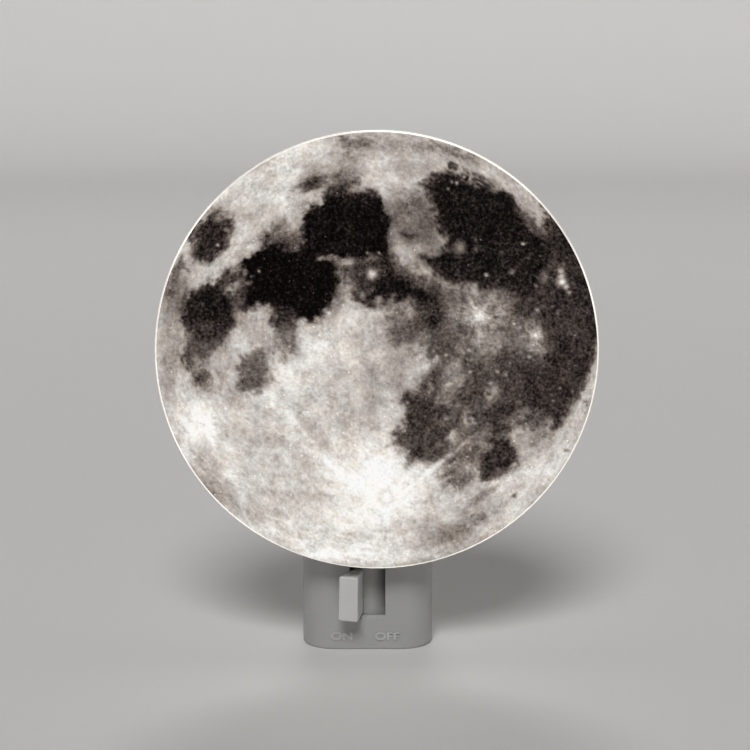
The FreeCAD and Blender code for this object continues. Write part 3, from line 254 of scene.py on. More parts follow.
ISLANDS = (  # x, z, half width, half height, turn, cover
    (-29.6, 31, 3.2, 1.6, 28, 0.3), (-34.5, 27, 4.3, 1.6, 28, 0.75), (-37.7, 29.7, 2.7, 2.7, 0, 0.5),
    (-47.4, 20.5, 4.3, 1.9, 20, 0.8), (-38.8, 21.6, 3.2, 0.8, 30, 0.2), (-39.6, 1.8, 2.4, 3.2, -10, 0.3),
    (-34.7, 5.3, 3.8, 3.8, 0, 0.7), (-39.1, -1.2, 1.6, 3.2, 0, 0.6), (-12, 25.4, 4.6, 0.6, 4, 0.3),
    (-1.3, 21.9, 1.4, 0.8, 0, 0.5), (5.1, 34.5, 1.6, 7, 8, 0.6), (9.4, 26.2, 1.9, 5.1, 35, 0.75),
    (13.7, 22.4, 3, 1.1, -40, 0.12), (18.5, 19.2, 1.9, 0.8, -30, 0.1), (7.3, 23.2, 2.2, 1.9, 0, 0.12),
    (10.2, 37.5, 3.8, 5.4, 0, 0.15), (15.3, 30.2, 3.8, 2.2, 0, 0.1), (21.2, 28.9, 2.4, 1.4, 0, 0.15),
    (6.2, 45.2, 3.2, 4.3, 0, 0.8), (3.5, 41.5, 1.6, 3.8, 0, 0.8), (-41.3, 37.5, 2.7, 1.6, 20, 0.35),
    (-4, 42.5, 5.9, 1.4, 0, 0.14), (-2.9, 16.7, 1.6, 1.6, 0, 0.35), (2.2, 14.3, 3.2, 1.1, 0, 0.3),
    (-9.9, 13.5, 3, 2.2, 0, 0.6), (-18.6, 4.8, 3.2, 3.8, 0, 0.8), (24.8, 46.3, 3.2, 0.8, -10, 0.5),
    (32.8, 44.1, 3.2, 0.8, -10, 0.15), (34.1, 50, 10.8, 2.4, -30, 0.95), (27.4, 50, 5.4, 1.9, -10, 0.6),
    (43, 38.3, 1.6, 4.9, 35, 0.12), (38.4, 41.7, 5.4, 1.9, -38, 0.75), (20.3, -3.4, 3.2, 2.7, 0, 0.15),
    (19.8, -8.1, 3.5, 3.2, 0, 0.2), (28.6, 3.1, 5.4, 3.5, 0, 0.3), (12.2, -2.3, 2.7, 2.4, 0, 0.85),
    (31.4, -10.6, 2.2, 2.2, 0, 0.22), (28, -23.8, 1.6, 3.2, -30, 0.1), (25.4, -30.5, 3.2, 0.8, 25, 0.25),
    (26.5, -33.3, 1.1, 2.4, 10, 0.25), (19.9, -31.1, 3.2, 0.8, 35, 0.3), (25.5, -18, 1.6, 3, 0, 0.2),
    (40.5, -26.1, 1.1, 3.2, 0, 0.5), (21.5, -22.2, 1.6, 1.4, 0, 0.4), (14.4, -8.6, 1.1, 1.1, 0, 0.3),
    (7.3, -8.4, 2.2, 2.2, 0, 0.5), (6, -16.1, 1.4, 2.7, 0, 0.6), (19.8, -17.7, 2.7, 1.6, 20, 0.25),
    (47.1, -25.5, 3.8, 2.7, 0, 0.4), (8.4, -3.2, 2.7, 4.9, 0, 0.5), (59.9, -10.6, 1.1, 8.1, -6, 0.9),
    (58.3, -16.1, 1.6, 4.3, -14, 0.6), (59.2, -1.8, 1.1, 5.4, 0, 0.5), (54.7, 4.2, 4.3, 3.8, 0, 0.1),
    (-16, 40.7, 2.4, 1.4, 20, 0.7), (-40.8, 34.2, 1.4, 1.4, 0, 0.3), (-48.3, -3.2, 1.9, 2.7, 0, 0.5),
    (-29.3, 9.7, 1.6, 1.9, 0, 0.3), (-4, 13.7, 1.9, 1.1, 0, 0.35), (23.2, 0.7, 1.9, 1.6, 0, 0.35),
    (28.8, 14.6, 1.9, 1.6, 0, 0.2), (32.7, -33.3, 1.9, 1.4, 30, 0.2), (39.4, -17.5, 1.6, 1.4, 0, 0.25),
    (25.3, -17.2, 1.4, 1.9, 0, 0.25), (-33.7, 26.2, 1.9, 1.1, 0, 0.5), (34.2, 12.4, 2.7, 2.4, 0, 0.15),
    (21.3, 15.4, 1.9, 1.4, 0, 0.2), (14.4, 47.3, 2.2, 1.4, 0, 0.3), (37.1, 38.3, 1.9, 1.9, 0, 0.2),
    (47, -18.6, 1.4, 1.6, 0, 0.25), (9.5, 10.2, 1.6, 1.6, 0, 0.25), (8.5, -28.3, 1.6, 1.1, 0, 0.55),
)
CRATERS = (  # x, z, core, halo, halo light, ray reach, ray light, ray count
    (2.5, -40, 2.6, 10.8, 0.52, 24.3, 0.46, 4.6), (27.7, 10.2, 2.4, 7.8, 0.52, 8.1, 0.2, 4.5),
    (42.6, 4.5, 0.9, 3.8, 0.6, 5.4, 0.15, 3.5), (-47.7, -19.7, 0.8, 5.4, 0.7, 9.2, 0.35, 2.2),
    (-36.6, 30.8, 0.8, 3.2, 0.22, 4.9, 0.1, 1.4), (46.3, -32.7, 0.8, 3.8, 0.3, 5.4, 0.15, 1.8),
    (-8.7, -34.4, 1.6, 8.1, 0.12, 6.5, 0.1, 2), (-23.7, -5.6, 1.6, 5.9, 0.25, 5.9, 0.08, 1.6),
    (-6.7, 8.6, 1.1, 5.4, 0.14, 4.3, 0.05, 1.6), (-5.9, -2.3, 1.1, 2.7, 0.12, 2.7, 0.05, 1.6),
)
LONG_RAYS = (  # from x, z, to x, z, half width, light
    (2.2, -40.3, -39.2, -12.8, 1.1, 0.4), (2.2, -40.3, -50.9, -32.2, 1.4, 0.35),
    (2.2, -40.3, 25.3, -16.9, 0.8, 0.6), (5, -40.5, 28, -21.1, 0.6, 0.62),
    (2.2, -40.3, -12.6, 14.6, 1.6, 0.29), (2.2, -40.3, 2.2, 0.9, 2.7, 0.32),
    (2.2, -40.3, -21.1, -57.4, 2.2, 0.32), (2.2, -40.3, 9.1, -60.3, 1.6, 0.32),
    (2.2, -40.3, 39.2, -51.8, 1.4, 0.32), (2.2, -40.3, 49.8, -23.8, 0.8, 0.29),
    (2.2, -40.3, 6.3, -12.8, 1.4, 0.24), (49.1, 24, 51.6, 16.7, 0.8, 0.75),
    (49.9, 21.6, 48.6, 17.8, 0.8, 0.55), (49.9, 18.9, 38.5, 6.4, 0.8, 0.22),
    (27.7, 9.9, 24.9, 30.8, 0.5, 0.12), (27.7, 9.9, 19.6, 24.8, 0.5, 0.18),
    (27.7, 9.9, 35.6, 28.1, 0.5, 0.15), (3.8, 32.4, 9.4, 25.9, 0.8, 0.12), (8.3, 27, 15.3, 20.5, 0.6, 0.24),
    (-16.8, 25.9, -12, 24.8, 0.6, 0.35), (-11.5, 23.8, -3.4, 25.6, 0.8, 0.5),
    (-31.1, -11.4, -17.6, -27.2, 1.1, 0.2), (-8.2, 35.6, -7.2, 26.5, 0.4, 0.14),
    (14.2, 21.3, 18.6, 18.6, 0.5, 0.1), (-8.7, -35, -30.5, -9.5, 0.8, 0.6),
    (2.2, -40.3, -19.5, -26.6, 1.1, 0.45), (-35.7, -41.9, -46.9, -21.1, 0.9, 0.45),
    (-20.8, -11.4, -29.4, -4, 1.1, 0.35),
)
SPOTS = (  # x, z, radius, light
    (39.1, 29.7, 0.49, 0.8), (21.3, 46, 0.43, 0.7), (23.2, 47.6, 0.41, 0.7), (24.8, 47.3, 0.41, 0.7),
    (20, 46.3, 0.38, 0.6), (18.9, 44.4, 0.38, 0.6), (13.4, 43.9, 0.54, 0.3), (22.2, 28.9, 1.49, 0.45),
    (26.5, 28.3, 0.81, 0.3), (29.3, 21.3, 0.59, 0.7), (33.5, 27.5, 0.41, 0.4), (36.2, 22.1, 0.81, 0.4),
    (40.5, 25.9, 0.38, 0.4), (42.7, 18.4, 0.38, 0.5), (16, 38, 0.54, 0.3), (26.5, 30.8, 0.38, 0.3),
    (43.1, 11.8, 0.49, 0.6), (36.9, 8, 0.41, 0.6), (38.5, 7, 0.38, 0.5), (-31.6, 22.4, 0.41, 0.7),
    (-1.3, 21.6, 1.49, 0.62), (-7.2, 24.8, 1.08, 0.5), (-12.9, 11, 0.49, 0.7), (0.6, 14.6, 1.08, 0.35),
    (-42.5, 29.4, 0.49, 0.6), (-2.6, 27.3, 0.43, 0.4), (0.6, 27.3, 0.38, 0.6), (-15.2, 25.6, 0.59, 0.4),
    (-5.9, 29.4, 0.32, 0.2), (19.5, -8.6, 0.7, 0.5), (14.1, -10.8, 0.43, 0.5), (9.2, -6.7, 0.49, 0.4),
    (32.7, -5.1, 0.49, 0.6), (34.9, -5.9, 0.43, 0.5), (25.2, -5.1, 0.49, 0.5), (32, -10, 1.08, 0.35),
    (30.9, -8.1, 0.54, 0.4), (18.7, -0.4, 0.43, 0.5), (24.9, 0.9, 0.49, 0.6), (36, -2.6, 0.38, 0.5),
    (49.6, -9.5, 0.38, 0.4), (55.5, -10.8, 0.43, 0.4), (7.6, -21.3, 0.41, 0.5), (8.2, -13.6, 0.41, 0.4),
    (18.5, -18, 0.38, 0.4), (21.2, -22.2, 0.95, 0.35), (25.3, -26.3, 0.43, 0.5), (13, -3.7, 1.22, 0.25),
    (47.7, -13.1, 0.35, 0.4), (42.1, 2.3, 0.54, 0.4), (48.7, 11, 0.32, 0.3), (27.7, 10.2, 1.62, 0.5),
    (41.8, 0.9, 0.65, 0.3), (41.3, -1, 0.49, 0.45), (49.1, 22.4, 0.81, 0.5), (49.4, 20.8, 0.86, 0.65),
    (49.7, 19.4, 1.13, 0.95), (50.8, 18.1, 0.86, 0.65), (51.6, 16.7, 0.65, 0.5), (-7.2, 17.3, 1.35, 0.35),
    (2.2, -40.3, 0.54, 0.5),
)


TWIST = np.array(((0.0, 0.8, 0.6), (-0.8, 0.36, -0.48), (-0.6, -0.48, 0.64)))   # turns each layer of noise


def soft(low, high, value):
    """0 below low, 1 above high, smooth between."""
    t = np.clip((value - low) / (high - low), 0, 1)
    return t * t * (3 - 2 * t)


def lattice(points, cells, seed):
    """Smooth noise from 0 to 1 on a fixed random lattice."""
    grid = np.random.default_rng(seed).random((LATTICE, LATTICE, LATTICE))
    scaled = points * cells
    cell = np.floor(scaled).astype(int)
    share = soft(0, 1, scaled - cell)
    total = np.zeros(len(points))
    for corner in product((0, 1), repeat=3):
        weight = np.prod(np.where(corner, share, 1 - share), axis=1)
        at = (cell + corner) % LATTICE
        total += weight * grid[at[:, 0], at[:, 1], at[:, 2]]
    return total


def layered(points, cells, layers, seed, fade):
    """Layers of finer and finer noise, about -1 to 1."""
    weights = fade ** np.arange(layers)
    total = 0
    for k, weight in enumerate(weights):
        total = total + lattice(points, cells * 2 ** k, seed + k) * weight
        points = points @ TWIST
    return (total / weights.sum() - 0.5) * 2


def ridged(noise, crest, fall):
    """Noise folded into thin bright lines."""
    return crest - fall * abs(noise)


def globe_points(x, z):
    """The points of the moon's globe that the print shows, so that its ground foreshortens at the limb."""
    turn = radians(PRINT_TURN)
    across = (x * cos(turn) - z * sin(turn)) / (DISC_RADIUS * PRINT_ZOOM)
    up = (x * sin(turn) + z * cos(turn)) / (DISC_RADIUS * PRINT_ZOOM)
    near = np.sqrt(np.maximum(1 - across ** 2 - up ** 2, LIMB_DEPTH))
    return np.stack([-across, up, near], -1)


def reach(x, z, oval):
    """Distance from an oval's middle in units of its size."""
    middle_x, middle_z, half_width, half_height, turn = oval
    c, s = cos(radians(turn)), sin(radians(turn))
    dx, dz = x - middle_x, z - middle_z
    return np.hypot((dx * c + dz * s) / half_width, (dz * c - dx * s) / half_height)


def depth_in(x, z, outline):
    """How far inside an outline each point lies. Outside it is negative."""
    gap, within = np.full(len(x), np.inf), np.zeros(len(x), bool)
    corners = list(zip(outline[::2], outline[1::2]))
    for (ax, az), (bx, bz) in zip(corners, corners[1:] + corners[:1]):
        wide, tall = bx - ax, bz - az
        share = np.clip(((x - ax) * wide + (z - az) * tall) / (wide ** 2 + tall ** 2), 0, 1)
        gap = np.minimum(gap, np.hypot(x - ax - share * wide, z - az - share * tall))
        if tall:
            within ^= ((az > z) != (bz > z)) & (x < ax + (z - az) / tall * wide)
    return np.where(within, gap, -gap)


class Print:
    """The moon's tone at points on the disc, in millimetres from its middle."""

    def __init__(self, x, z):
        self.x, self.z = x, z
        globe = globe_points(x, z)
        self.drift_x, self.drift_z = (layered(globe, cells=7, layers=4, seed=seed, fade=0.5)
                                      for seed in (11, 31))
        self.fray_x, self.fray_z = (layered(globe, cells=30, layers=3, seed=seed, fade=0.6)
                                    for seed in (51, 71))
        self.mottle = layered(globe, cells=11, layers=6, seed=91, fade=0.72)
        self.blotch = layered(globe, cells=22, layers=4, seed=111, fade=0.8)
        self.web = ridged(layered(globe, cells=16, layers=4, seed=151, fade=0.75), crest=0.32, fall=1.6)
        self.grain = layered(globe, cells=75, layers=2, seed=131, fade=0.9)
        self.vein = ridged(layered(globe, cells=38, layers=3, seed=171, fade=0.8), crest=0.3, fall=1.5)

    def moved(self, drift, fray):
        """The points pushed about by noise, in millimetres."""
        return (self.x + drift * self.drift_x + fray * self.fray_x,
                self.z + drift * self.drift_z + fray * self.fray_z)

    def mixed(self, level=0, **shares):
        """A level with some of each named noise added."""
        return level + sum(share * getattr(self, noise) for noise, share in shares.items())

    def highlands(self):
        """Pale ground with soft wide changes."""
        tone = np.full(len(self.x), GROUND_TONE)
        x, z = self.moved(drift=3.2, fray=0)
        for *oval, change in GROUND:
            tone += change * np.exp(-reach(x, z, oval) ** 2)
        return tone

    def seas(self):
        """How far the dark seas cover the ground, and their own tone."""
        x, z = self.moved(drift=1.6, fray=1.5)
        covers = [(tone, share * soft(-SHORE * softness, SHORE * softness, depth_in(x, z, outline)))
                  for tone, share, softness, *outline in OUTLINES]
        covers += [(tone, share * (1 - soft(1 - softness, 1 + softness, reach(x, z, oval))))
                   for *oval, share, tone, softness in SEAS]
        dark, total, weight = 0, 0, TINY
        for tone, cover in covers:
            dark = 1 - (1 - dark) * (1 - cover)
            total = total + cover ** 2 * tone
            weight = weight + cover ** 2
        for *oval, share in ISLANDS:
            dark = dark * (1 - share * (1 - soft(*ISLAND_EDGE, reach(x, z, oval))))
        shore = 4 * dark * (1 - dark)   # 1 where a sea covers half, 0 on open ground and open sea
        cover = dark + shore * self.mixed(fray_x=0.25, blotch=0.30, grain=0.14, web=-0.40)
        cover = np.clip(cover - SEA_GAPS * np.maximum(self.blotch, 0), 0, 1)
        cover += SHORE_CRISPNESS * (soft(0.2, 0.8, cover) - cover)
        return cover, total / weight

    def streaks(self, x, z, rays, seed):
        """Distance from a crater's middle, and fine light streaks that run out from it."""
        points_x, points_z = self.moved(drift=0, fray=0.7)
        dx, dz = points_x - x, points_z - z
        away = np.hypot(dx, dz) + TINY
        polar = np.stack([dx / away * rays, dz / away * rays, away / STREAK_LENGTH], -1)
        streak = layered(polar, cells=1, layers=4, seed=seed, fade=0.85) * STREAK_CONTRAST
        return away, soft(-0.1, 0.8, streak)

    def light(self):
        """Bright craters with haloes and rays, and the share of tone that their duller rings leave."""
        total, rings = np.zeros(len(self.x)), 1
        broken = np.clip(self.mixed(0.75, mottle=0.7, fray_z=0.5), 0, 2)
        uneven = self.mixed(0.72, blotch=0.6, web=0.8)
        for k, (x, z, core, halo, glow, ray_reach, ray_light, rays) in enumerate(CRATERS):
            away, streak = self.streaks(x, z, rays, seed=200 + 5 * k)
            beyond_core = 1 - np.exp(-(away / core) ** 2)
            total += ray_light * streak * np.exp(-away / ray_reach) * broken * beyond_core
            total += glow * np.exp(-(away / halo) ** 1.6) * (uneven + 0.3 * streak)
            total += CORE_LIGHT * np.exp(-(away / core) ** 3)
            rings *= 1 - RING_SHADE * glow * np.exp(-((away / core - RING_PLACE) / RING_WIDTH) ** 2)
        x, z = self.moved(drift=0.8, fray=0.4)
        broken = np.clip(self.mixed(0.65, mottle=0.8, fray_z=0.6), 0, 2)
        for from_x, from_z, to_x, to_z, half_width, strength in LONG_RAYS:
            span = hypot(to_x - from_x, to_z - from_z)
            ahead_x, ahead_z = (to_x - from_x) / span, (to_z - from_z) / span
            along = ((x - from_x) * ahead_x + (z - from_z) * ahead_z) / span
            aside = (z - from_z) * ahead_x - (x - from_x) * ahead_z
            fade = soft(*RAY_STARTS, along) * (1 - soft(*RAY_ENDS, along))
            total += strength * np.exp(-(aside / half_width) ** 2) * fade * broken
        return np.clip(total, 0, MOST_LIGHT), rings

    def spots(self):
        """Small bright craters: the known ones, and many faint ones strewn about."""
        total = np.zeros(len(self.x))
        rng = np.random.default_rng(STREWN_SEED)
        strewn = []
        for _ in range(STREWN_SPOTS):
            away, turn = DISC_RADIUS * sqrt(rng.uniform(0, STREWN_AREA)), rng.uniform(0, 2 * pi)
            strewn.append((away * cos(turn), away * sin(turn),
                           rng.uniform(*STREWN_RADII), rng.uniform(*STREWN_LIGHTS)))
        for x, z, radius, strength in (*SPOTS, *strewn):
            near = (abs(self.x - x) < 3 * radius) & (abs(self.z - z) < 3 * radius)
            d = ((self.x[near] - x) ** 2 + (self.z[near] - z) ** 2) / radius ** 2
            total[near] = np.maximum(total[near], strength * np.exp(-d))
        return total

    def tones(self):
        """Tone from 0, black, to 1, white, and how far each point is sea."""
        cover, sea = self.seas()
        tone = self.highlands() * (1 - cover) + sea * cover
        tone += np.sqrt(tone) * self.mixed(mottle=0.23, blotch=0.14, web=0.12, vein=0.13)
        light, rings = self.light()
        dulled = SEA_DULLS * cover * soft(DULL_SEA, DARK_SEA, sea)
        tone += light * (LIGHTEST - tone) * (RAY_STRENGTH - dulled)
        tone += self.spots() * (1 - tone)
        tone += GRAIN * self.grain * (1.25 - cover)
        return np.clip(tone, BLACKEST, 1) * rings, cover


# Sizes and colours that a user would change

def length(name, text, default):
    return bpy.props.FloatProperty(name=name, description=text, default=default, subtype="DISTANCE",
                                   unit="LENGTH", precision=5)


def colour(name, text, default):
    return bpy.props.FloatVectorProperty(name=name, description=text, default=default, size=3,
                                         subtype="COLOR", min=0, max=1)


def number(name, text, default, low=0, high=1000):
    return bpy.props.FloatProperty(name=name, description=text, default=default, min=low, max=high)


def count(name, text, default):
    return bpy.props.IntProperty(name=name, description=text, default=default, min=3, max=2000)


def angle(name, text, default):
    return bpy.props.FloatProperty(name=name, description=text, default=radians(default),
                                   subtype="ANGLE", unit="ROTATION")


def place(name, text, default):
    return bpy.props.FloatVectorProperty(name=name, description=text, default=default, size=3,
                                         subtype="XYZ_LENGTH", unit="LENGTH", precision=5)


PRINT_LOW, PRINT_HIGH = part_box("moon_print")
PLATE_LOW, PLATE_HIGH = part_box("diffuser_disc")
HOUSING_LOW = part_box("front_shell")[0]
GLASS_LOW, GLASS_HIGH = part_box("bulb_glass")
FILAMENT_LOW, FILAMENT_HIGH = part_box("bulb_filament")
RAIL_DEPTH = 0.0025
FACE_Y = HOUSING_LOW.y + RAIL_DEPTH   # the housing's front face, which its rail stands out from
FILM_MARGIN = 0.00001                 # the film reaches just past the CAD print's facets


class NightLightPrint(bpy.types.PropertyGroup):
    """The printed film on the disc's front."""
    cells: count("Cells", "Cells of the film's mesh across the disc", 300)
    radius: length("Radius", "Radius of the film", (PRINT_HIGH.x - PRINT_LOW.x) / 2 + FILM_MARGIN)
    glow: number("Glow", "Strength of the light through the print", 1.0)
    fine_grain: number("Fine grain", "Strength of the finest mottling of the print", 0.075)
    ink_sheen: number("Ink sheen", "Specular level of the printed face", 0.025)


class NightLightPlate(bpy.types.PropertyGroup):
    """The opal plate that spreads the light."""
    opal: colour("Opal", "Colour of the plate", (0.93, 0.90, 0.84))
    rim_left: colour("Left rim", "Light in the rim on the left", (1.0, 0.95, 0.89))
    rim_right: colour("Right rim", "Light in the rim on the right", (1.0, 0.97, 0.86))
    rim_glow: number("Rim glow", "Strength of the light in the rim", 0.74)
    back_glow: number("Back glow", "Strength of the light on the back, behind the bulb", 0.9)
    back_reach: length("Back reach", "How far the bulb lights the plate's back", 0.030)


class NightLightHousing(bpy.types.PropertyGroup):
    """The plug housing and its raised words."""
    # painted shade: the housing's white plastic is given a mid grey, darker than the lever, to stand for the
    # dim light on it
    white: colour("White", "Colour of the moulded housing", (0.40, 0.40, 0.40))
    lever_white: colour("Lever white", "Colour of the lever", (0.62, 0.62, 0.61))
    # painted shade: the rotor is part of the lever's moulding, and this darker colour stands for the shade
    # behind the window
    rotor_painted_shade: colour("Rotor white", "Colour of the rotor behind the window", (0.38, 0.38, 0.37))
    satin: number("Satin", "Roughness of the moulded faces", 0.42, 0, 1)
    texture: length("Texture", "Depth of the moulded texture", 0.00002)
    word_height: length("Word height", "Height of the raised words", 0.0023)
    word_rise: length("Word rise", "How far the words stand out", 0.00040)
    # painted highlight: the raised words are made paler to stand for the light their faces catch
    word_highlight: number("Word shine", "How much paler the words' rubbed faces are", 1.25)


class NightLightBulb(bpy.types.PropertyGroup):
    """The candelabra bulb."""
    coil_radius: length("Coil radius", "Radius of the filament's coil", 0.00026)
    wire_radius: length("Wire radius", "Radius of the filament's wire", 0.00006)
    turns: count("Turns", "Turns of the filament's coil", 46)
    glow: number("Glow", "Strength of the filament's light", 14.0)
    warmth: colour("Warmth", "Colour of the filament's light", (1.0, 0.62, 0.28))


class NightLightStage(bpy.types.PropertyGroup):
    """Floor, light and camera."""
    floor: colour("Floor", "Colour of the floor and backdrop", (0.88, 0.87, 0.855))
    key: number("Key light", "Strength of the light from the front", 1.50)
    key_side: angle("Key side", "How far left of the camera the key light stands", 5.0)
    key_height: angle("Key height", "How high the key light stands", 42.0)
    fill: number("Fill light", "Strength of the light from behind", 0.45)
    room: number("Room light", "Strength of the light from all sides", 0.05)
    backdrop_radius: length("Backdrop radius", "Radius of the round backdrop", 2.2)
    aim: place("Aim", "Point on the disc's front that the camera looks at", (0.0021, -0.038, 0.0601))
    distance: length("Distance", "From the camera to the point it looks at", 0.6)
    elevation: angle("Elevation", "How far the camera looks down", 10.0)
    lens: number("Lens", "Focal length in millimetres on a 36 mm sensor", 106.56)


# Finishes

SHADE_BLEND = 0.0012   # depth over which a moulding's own colour goes over to its darker inner colour, the painted shade behind a plane


class Finish:
    """A procedural material built on one Principled shader. Sizes of patterns are in millimetres."""

    def __init__(self, name, **values):
        self.material = bpy.data.materials.new(name)
        self.material.use_nodes = True
        self.tree = self.material.node_tree
        self.shader = self.tree.nodes["Principled BSDF"]
        self.coordinates = self.tree.nodes.new("ShaderNodeTexCoord").outputs["Object"]
        for key, value in values.items():
            self.set(key.replace("_", " "), value)

    def socket(self, key):
        return {socket.name.lower(): socket for socket in self.shader.inputs}[key.lower()]

    def set(self, key, value):
        """One value all over, on the shader's own socket."""
        target = self.socket(key)
        target.default_value = (*value, 1) if hasattr(value, "__len__") and target.type == "RGBA" else value

    def feed(self, output, key):
        """A pattern into the shader's socket."""
        self.link(output, self.socket(key))

    def node(self, kind, **values):
        made = self.tree.nodes.new("ShaderNode" + kind)
        for key, value in values.items():
            setattr(made, key, value)
        return made

    def link(self, output, target):
        self.tree.links.new(output, target)

    def stretched(self, scale=(1, 1, 1)):
        """Object coordinates, squeezed along an axis for brushed or drawn faces."""
        mapping = self.node("Mapping")
        mapping.inputs["Scale"].default_value = scale
        self.link(self.coordinates, mapping.inputs["Vector"])
        return mapping.outputs[0]

    def position(self):
        """The x, y and z of the object coordinates, in metres."""
        made = self.node("SeparateXYZ")
        self.link(self.coordinates, made.inputs[0])
        return made.outputs

    def away(self, vector, point):
        """Distance of a vector from a point, in metres."""
        made = self.node("VectorMath", operation="DISTANCE")
        self.link(vector, made.inputs[0])
        made.inputs[1].default_value = point
        return made.outputs["Value"]

    def noise(self, size, detail, roughness, scale=(1, 1, 1)):
        made = self.node("TexNoise")
        made.inputs["Scale"].default_value = 1 / (size * MM)
        made.inputs["Detail"].default_value = detail
        made.inputs["Roughness"].default_value = roughness
        self.link(self.stretched(scale), made.inputs["Vector"])
        return made.outputs["Fac"]

    def cells(self, size):
        made = self.node("TexVoronoi")
        made.inputs["Scale"].default_value = 1 / (size * MM)
        self.link(self.stretched(), made.inputs["Vector"])
        return made.outputs

    def spread(self, value, low, high, to_low, to_high):
        """A value's range from low to high, spread over another range."""
        made = self.node("MapRange")
        for key, amount in zip(("From Min", "From Max", "To Min", "To Max"), (low, high, to_low, to_high)):
            made.inputs[key].default_value = amount
        self.link(value, made.inputs["Value"])
        return made.outputs["Result"]

    def maths(self, kind, a, b):
        made = self.node("Math", operation=kind)
        self.link(a, made.inputs[0])
        self.link(b, made.inputs[1])
        return made.outputs[0]

    def ramp(self, value, stops):
        made = self.node("ValToRGB")
        elements = made.color_ramp.elements
        while len(elements) < len(stops):
            elements.new(0.5)
        for element, (at, shade) in zip(elements, stops):
            element.position = at
            element.color = (*shade, 1)
        self.link(value, made.inputs["Fac"])
        return made.outputs["Color"]

    def blend(self, share, a, b, kind="MIX"):
        made = self.node("Mix", data_type="RGBA", blend_type=kind)
        for key, value in (("Factor", share), ("A", a), ("B", b)):
            target = [s for s in made.inputs if s.name == key and s.enabled][0]
            if isinstance(value, bpy.types.NodeSocket):
                self.link(value, target)
            else:
                target.default_value = (*value, 1) if hasattr(value, "__len__") else value
        return [s for s in made.outputs if s.enabled][0]

    def bump(self, height, depth, strength=1.0):
        made = self.node("Bump")
        made.inputs["Strength"].default_value = strength
        made.inputs["Distance"].default_value = depth
        self.link(height, made.inputs["Height"])
        self.feed(made.outputs["Normal"], "normal")


def toned(shade, share):
    """A colour made darker or paler."""
    return [min(1, c * share) for c in shade]


def moulded(name, white, satin, texture, grain=0.35, inner=None, front=0):
    """Moulded plastic: a fine even texture, soft flow marks and dust, and a darker colour behind a plane that
    stands for painted shade.
    """
    made = Finish(name, base_color=white, coat_weight=0.06, coat_roughness=0.25, ior=1.5)
    flow = made.noise(9, 3, 0.5, (1, 1, 0.4))
    specks = made.noise(0.5, 2, 0.7)
    tint = made.spread(made.maths("MULTIPLY", flow, specks), 0.1, 0.4, 0, 1)
    shade = made.blend(tint, toned(white, 0.955), toned(white, 1.02))
    if inner is not None:
        # painted shade: the colour turns darker behind the plane
        behind = made.spread(made.position()[1], front, front + SHADE_BLEND, 0, 1)
        shade = made.blend(behind, shade, inner)
    made.feed(shade, "base color")
    made.feed(made.spread(made.noise(1.4, 4, 0.65), 0.3, 0.7, satin - 0.05, satin + 0.06), "roughness")
    made.bump(made.noise(grain, 3, 0.6), texture, 0.55)
    return made.material


def metal(name, shade, roughness, scale=(1, 1, 1), grain=0.12, wear=0.12, depth=0.000006):
    """Rolled or drawn metal: fine lines along one axis, and a slight tarnish."""
    made = Finish(name, base_color=shade, metallic=1.0)
    tarnish = made.spread(made.noise(2.2, 5, 0.65), 0.35, 0.7, 0, 1)
    made.feed(made.blend(tarnish, shade, toned(shade, 1 - wear)), "base color")
    lines = made.noise(grain, 3, 0.6, scale)
    made.feed(made.spread(lines, 0.3, 0.7, roughness - 0.07, roughness + 0.1), "roughness")
    made.bump(lines, depth, 0.4)
    return made.material


def dress(material, *nodes):
    """Gives CAD nodes a finish through their own material slots."""
    for node in nodes:
        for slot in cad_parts[node].material_slots:
            slot.material = material


def piece(name, vertices, faces, material, body, smooth=False):
    """A mesh piece in metres that rides on a body."""
    mesh = bpy.data.meshes.new(name)
    mesh.from_pydata(vertices, [], faces)
    mesh.validate()
    mesh.materials.append(material)
    if smooth:
        mesh.shade_smooth()
    made = bpy.data.objects.new(name, mesh)
    bpy.context.scene.collection.objects.link(made)
    if body:
        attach(made, body)
    return made


# Moon print

INKS = (   # tone, and its shade as linear colour
    (0.0, (0.0012, 0.0009, 0.0009)), (0.07, (0.0040, 0.0030, 0.0027)), (0.14, (0.0130, 0.0097, 0.0086)),
    (0.25, (0.0545, 0.0423, 0.0382)), (0.40, (0.144, 0.120, 0.107)), (0.55, (0.287, 0.250, 0.223)),
    (0.70, (0.474, 0.434, 0.402)), (0.82, (0.658, 0.624, 0.584)), (0.92, (0.847, 0.823, 0.783)),
    (1.0, (0.965, 0.965, 0.956)))
WARM_TINT, COOL_TINT = (1.0, 0.97, 0.935), (0.965, 0.98, 1.0)
FILM_BASE = 0.97      # share of its light's colour that the film's own colour lacks
HIDDEN_TONE = 0.6     # of the middle of the film's back


def disc_grid(cells, radius):
    """Points and quads of a grid whose squares follow the disc's round edge, and its edge points in order."""
    steps = np.linspace(-1, 1, cells + 1)
    a, b = (g.ravel() for g in np.meshgrid(steps, steps, indexing="ij"))
    wide = abs(a) > abs(b)
    big, small = np.where(wide, a, b), np.where(wide, b, a)
    share = np.divide(small, big, out=np.zeros_like(small), where=big != 0)
    turn = np.where(wide, pi / 4 * share, pi / 2 - pi / 4 * share)
    x, z = big * np.cos(turn) * radius, big * np.sin(turn) * radius
    index = np.arange((cells + 1) ** 2).reshape(cells + 1, cells + 1)
    quads = np.stack([index[:-1, :-1], index[1:, :-1], index[1:, 1:], index[:-1, 1:]], -1).reshape(-1, 4)
    edge = np.concatenate([index[:-1, 0], index[-1, :-1], index[:0:-1, -1], index[0, :0:-1]])
    return x, z, quads, edge


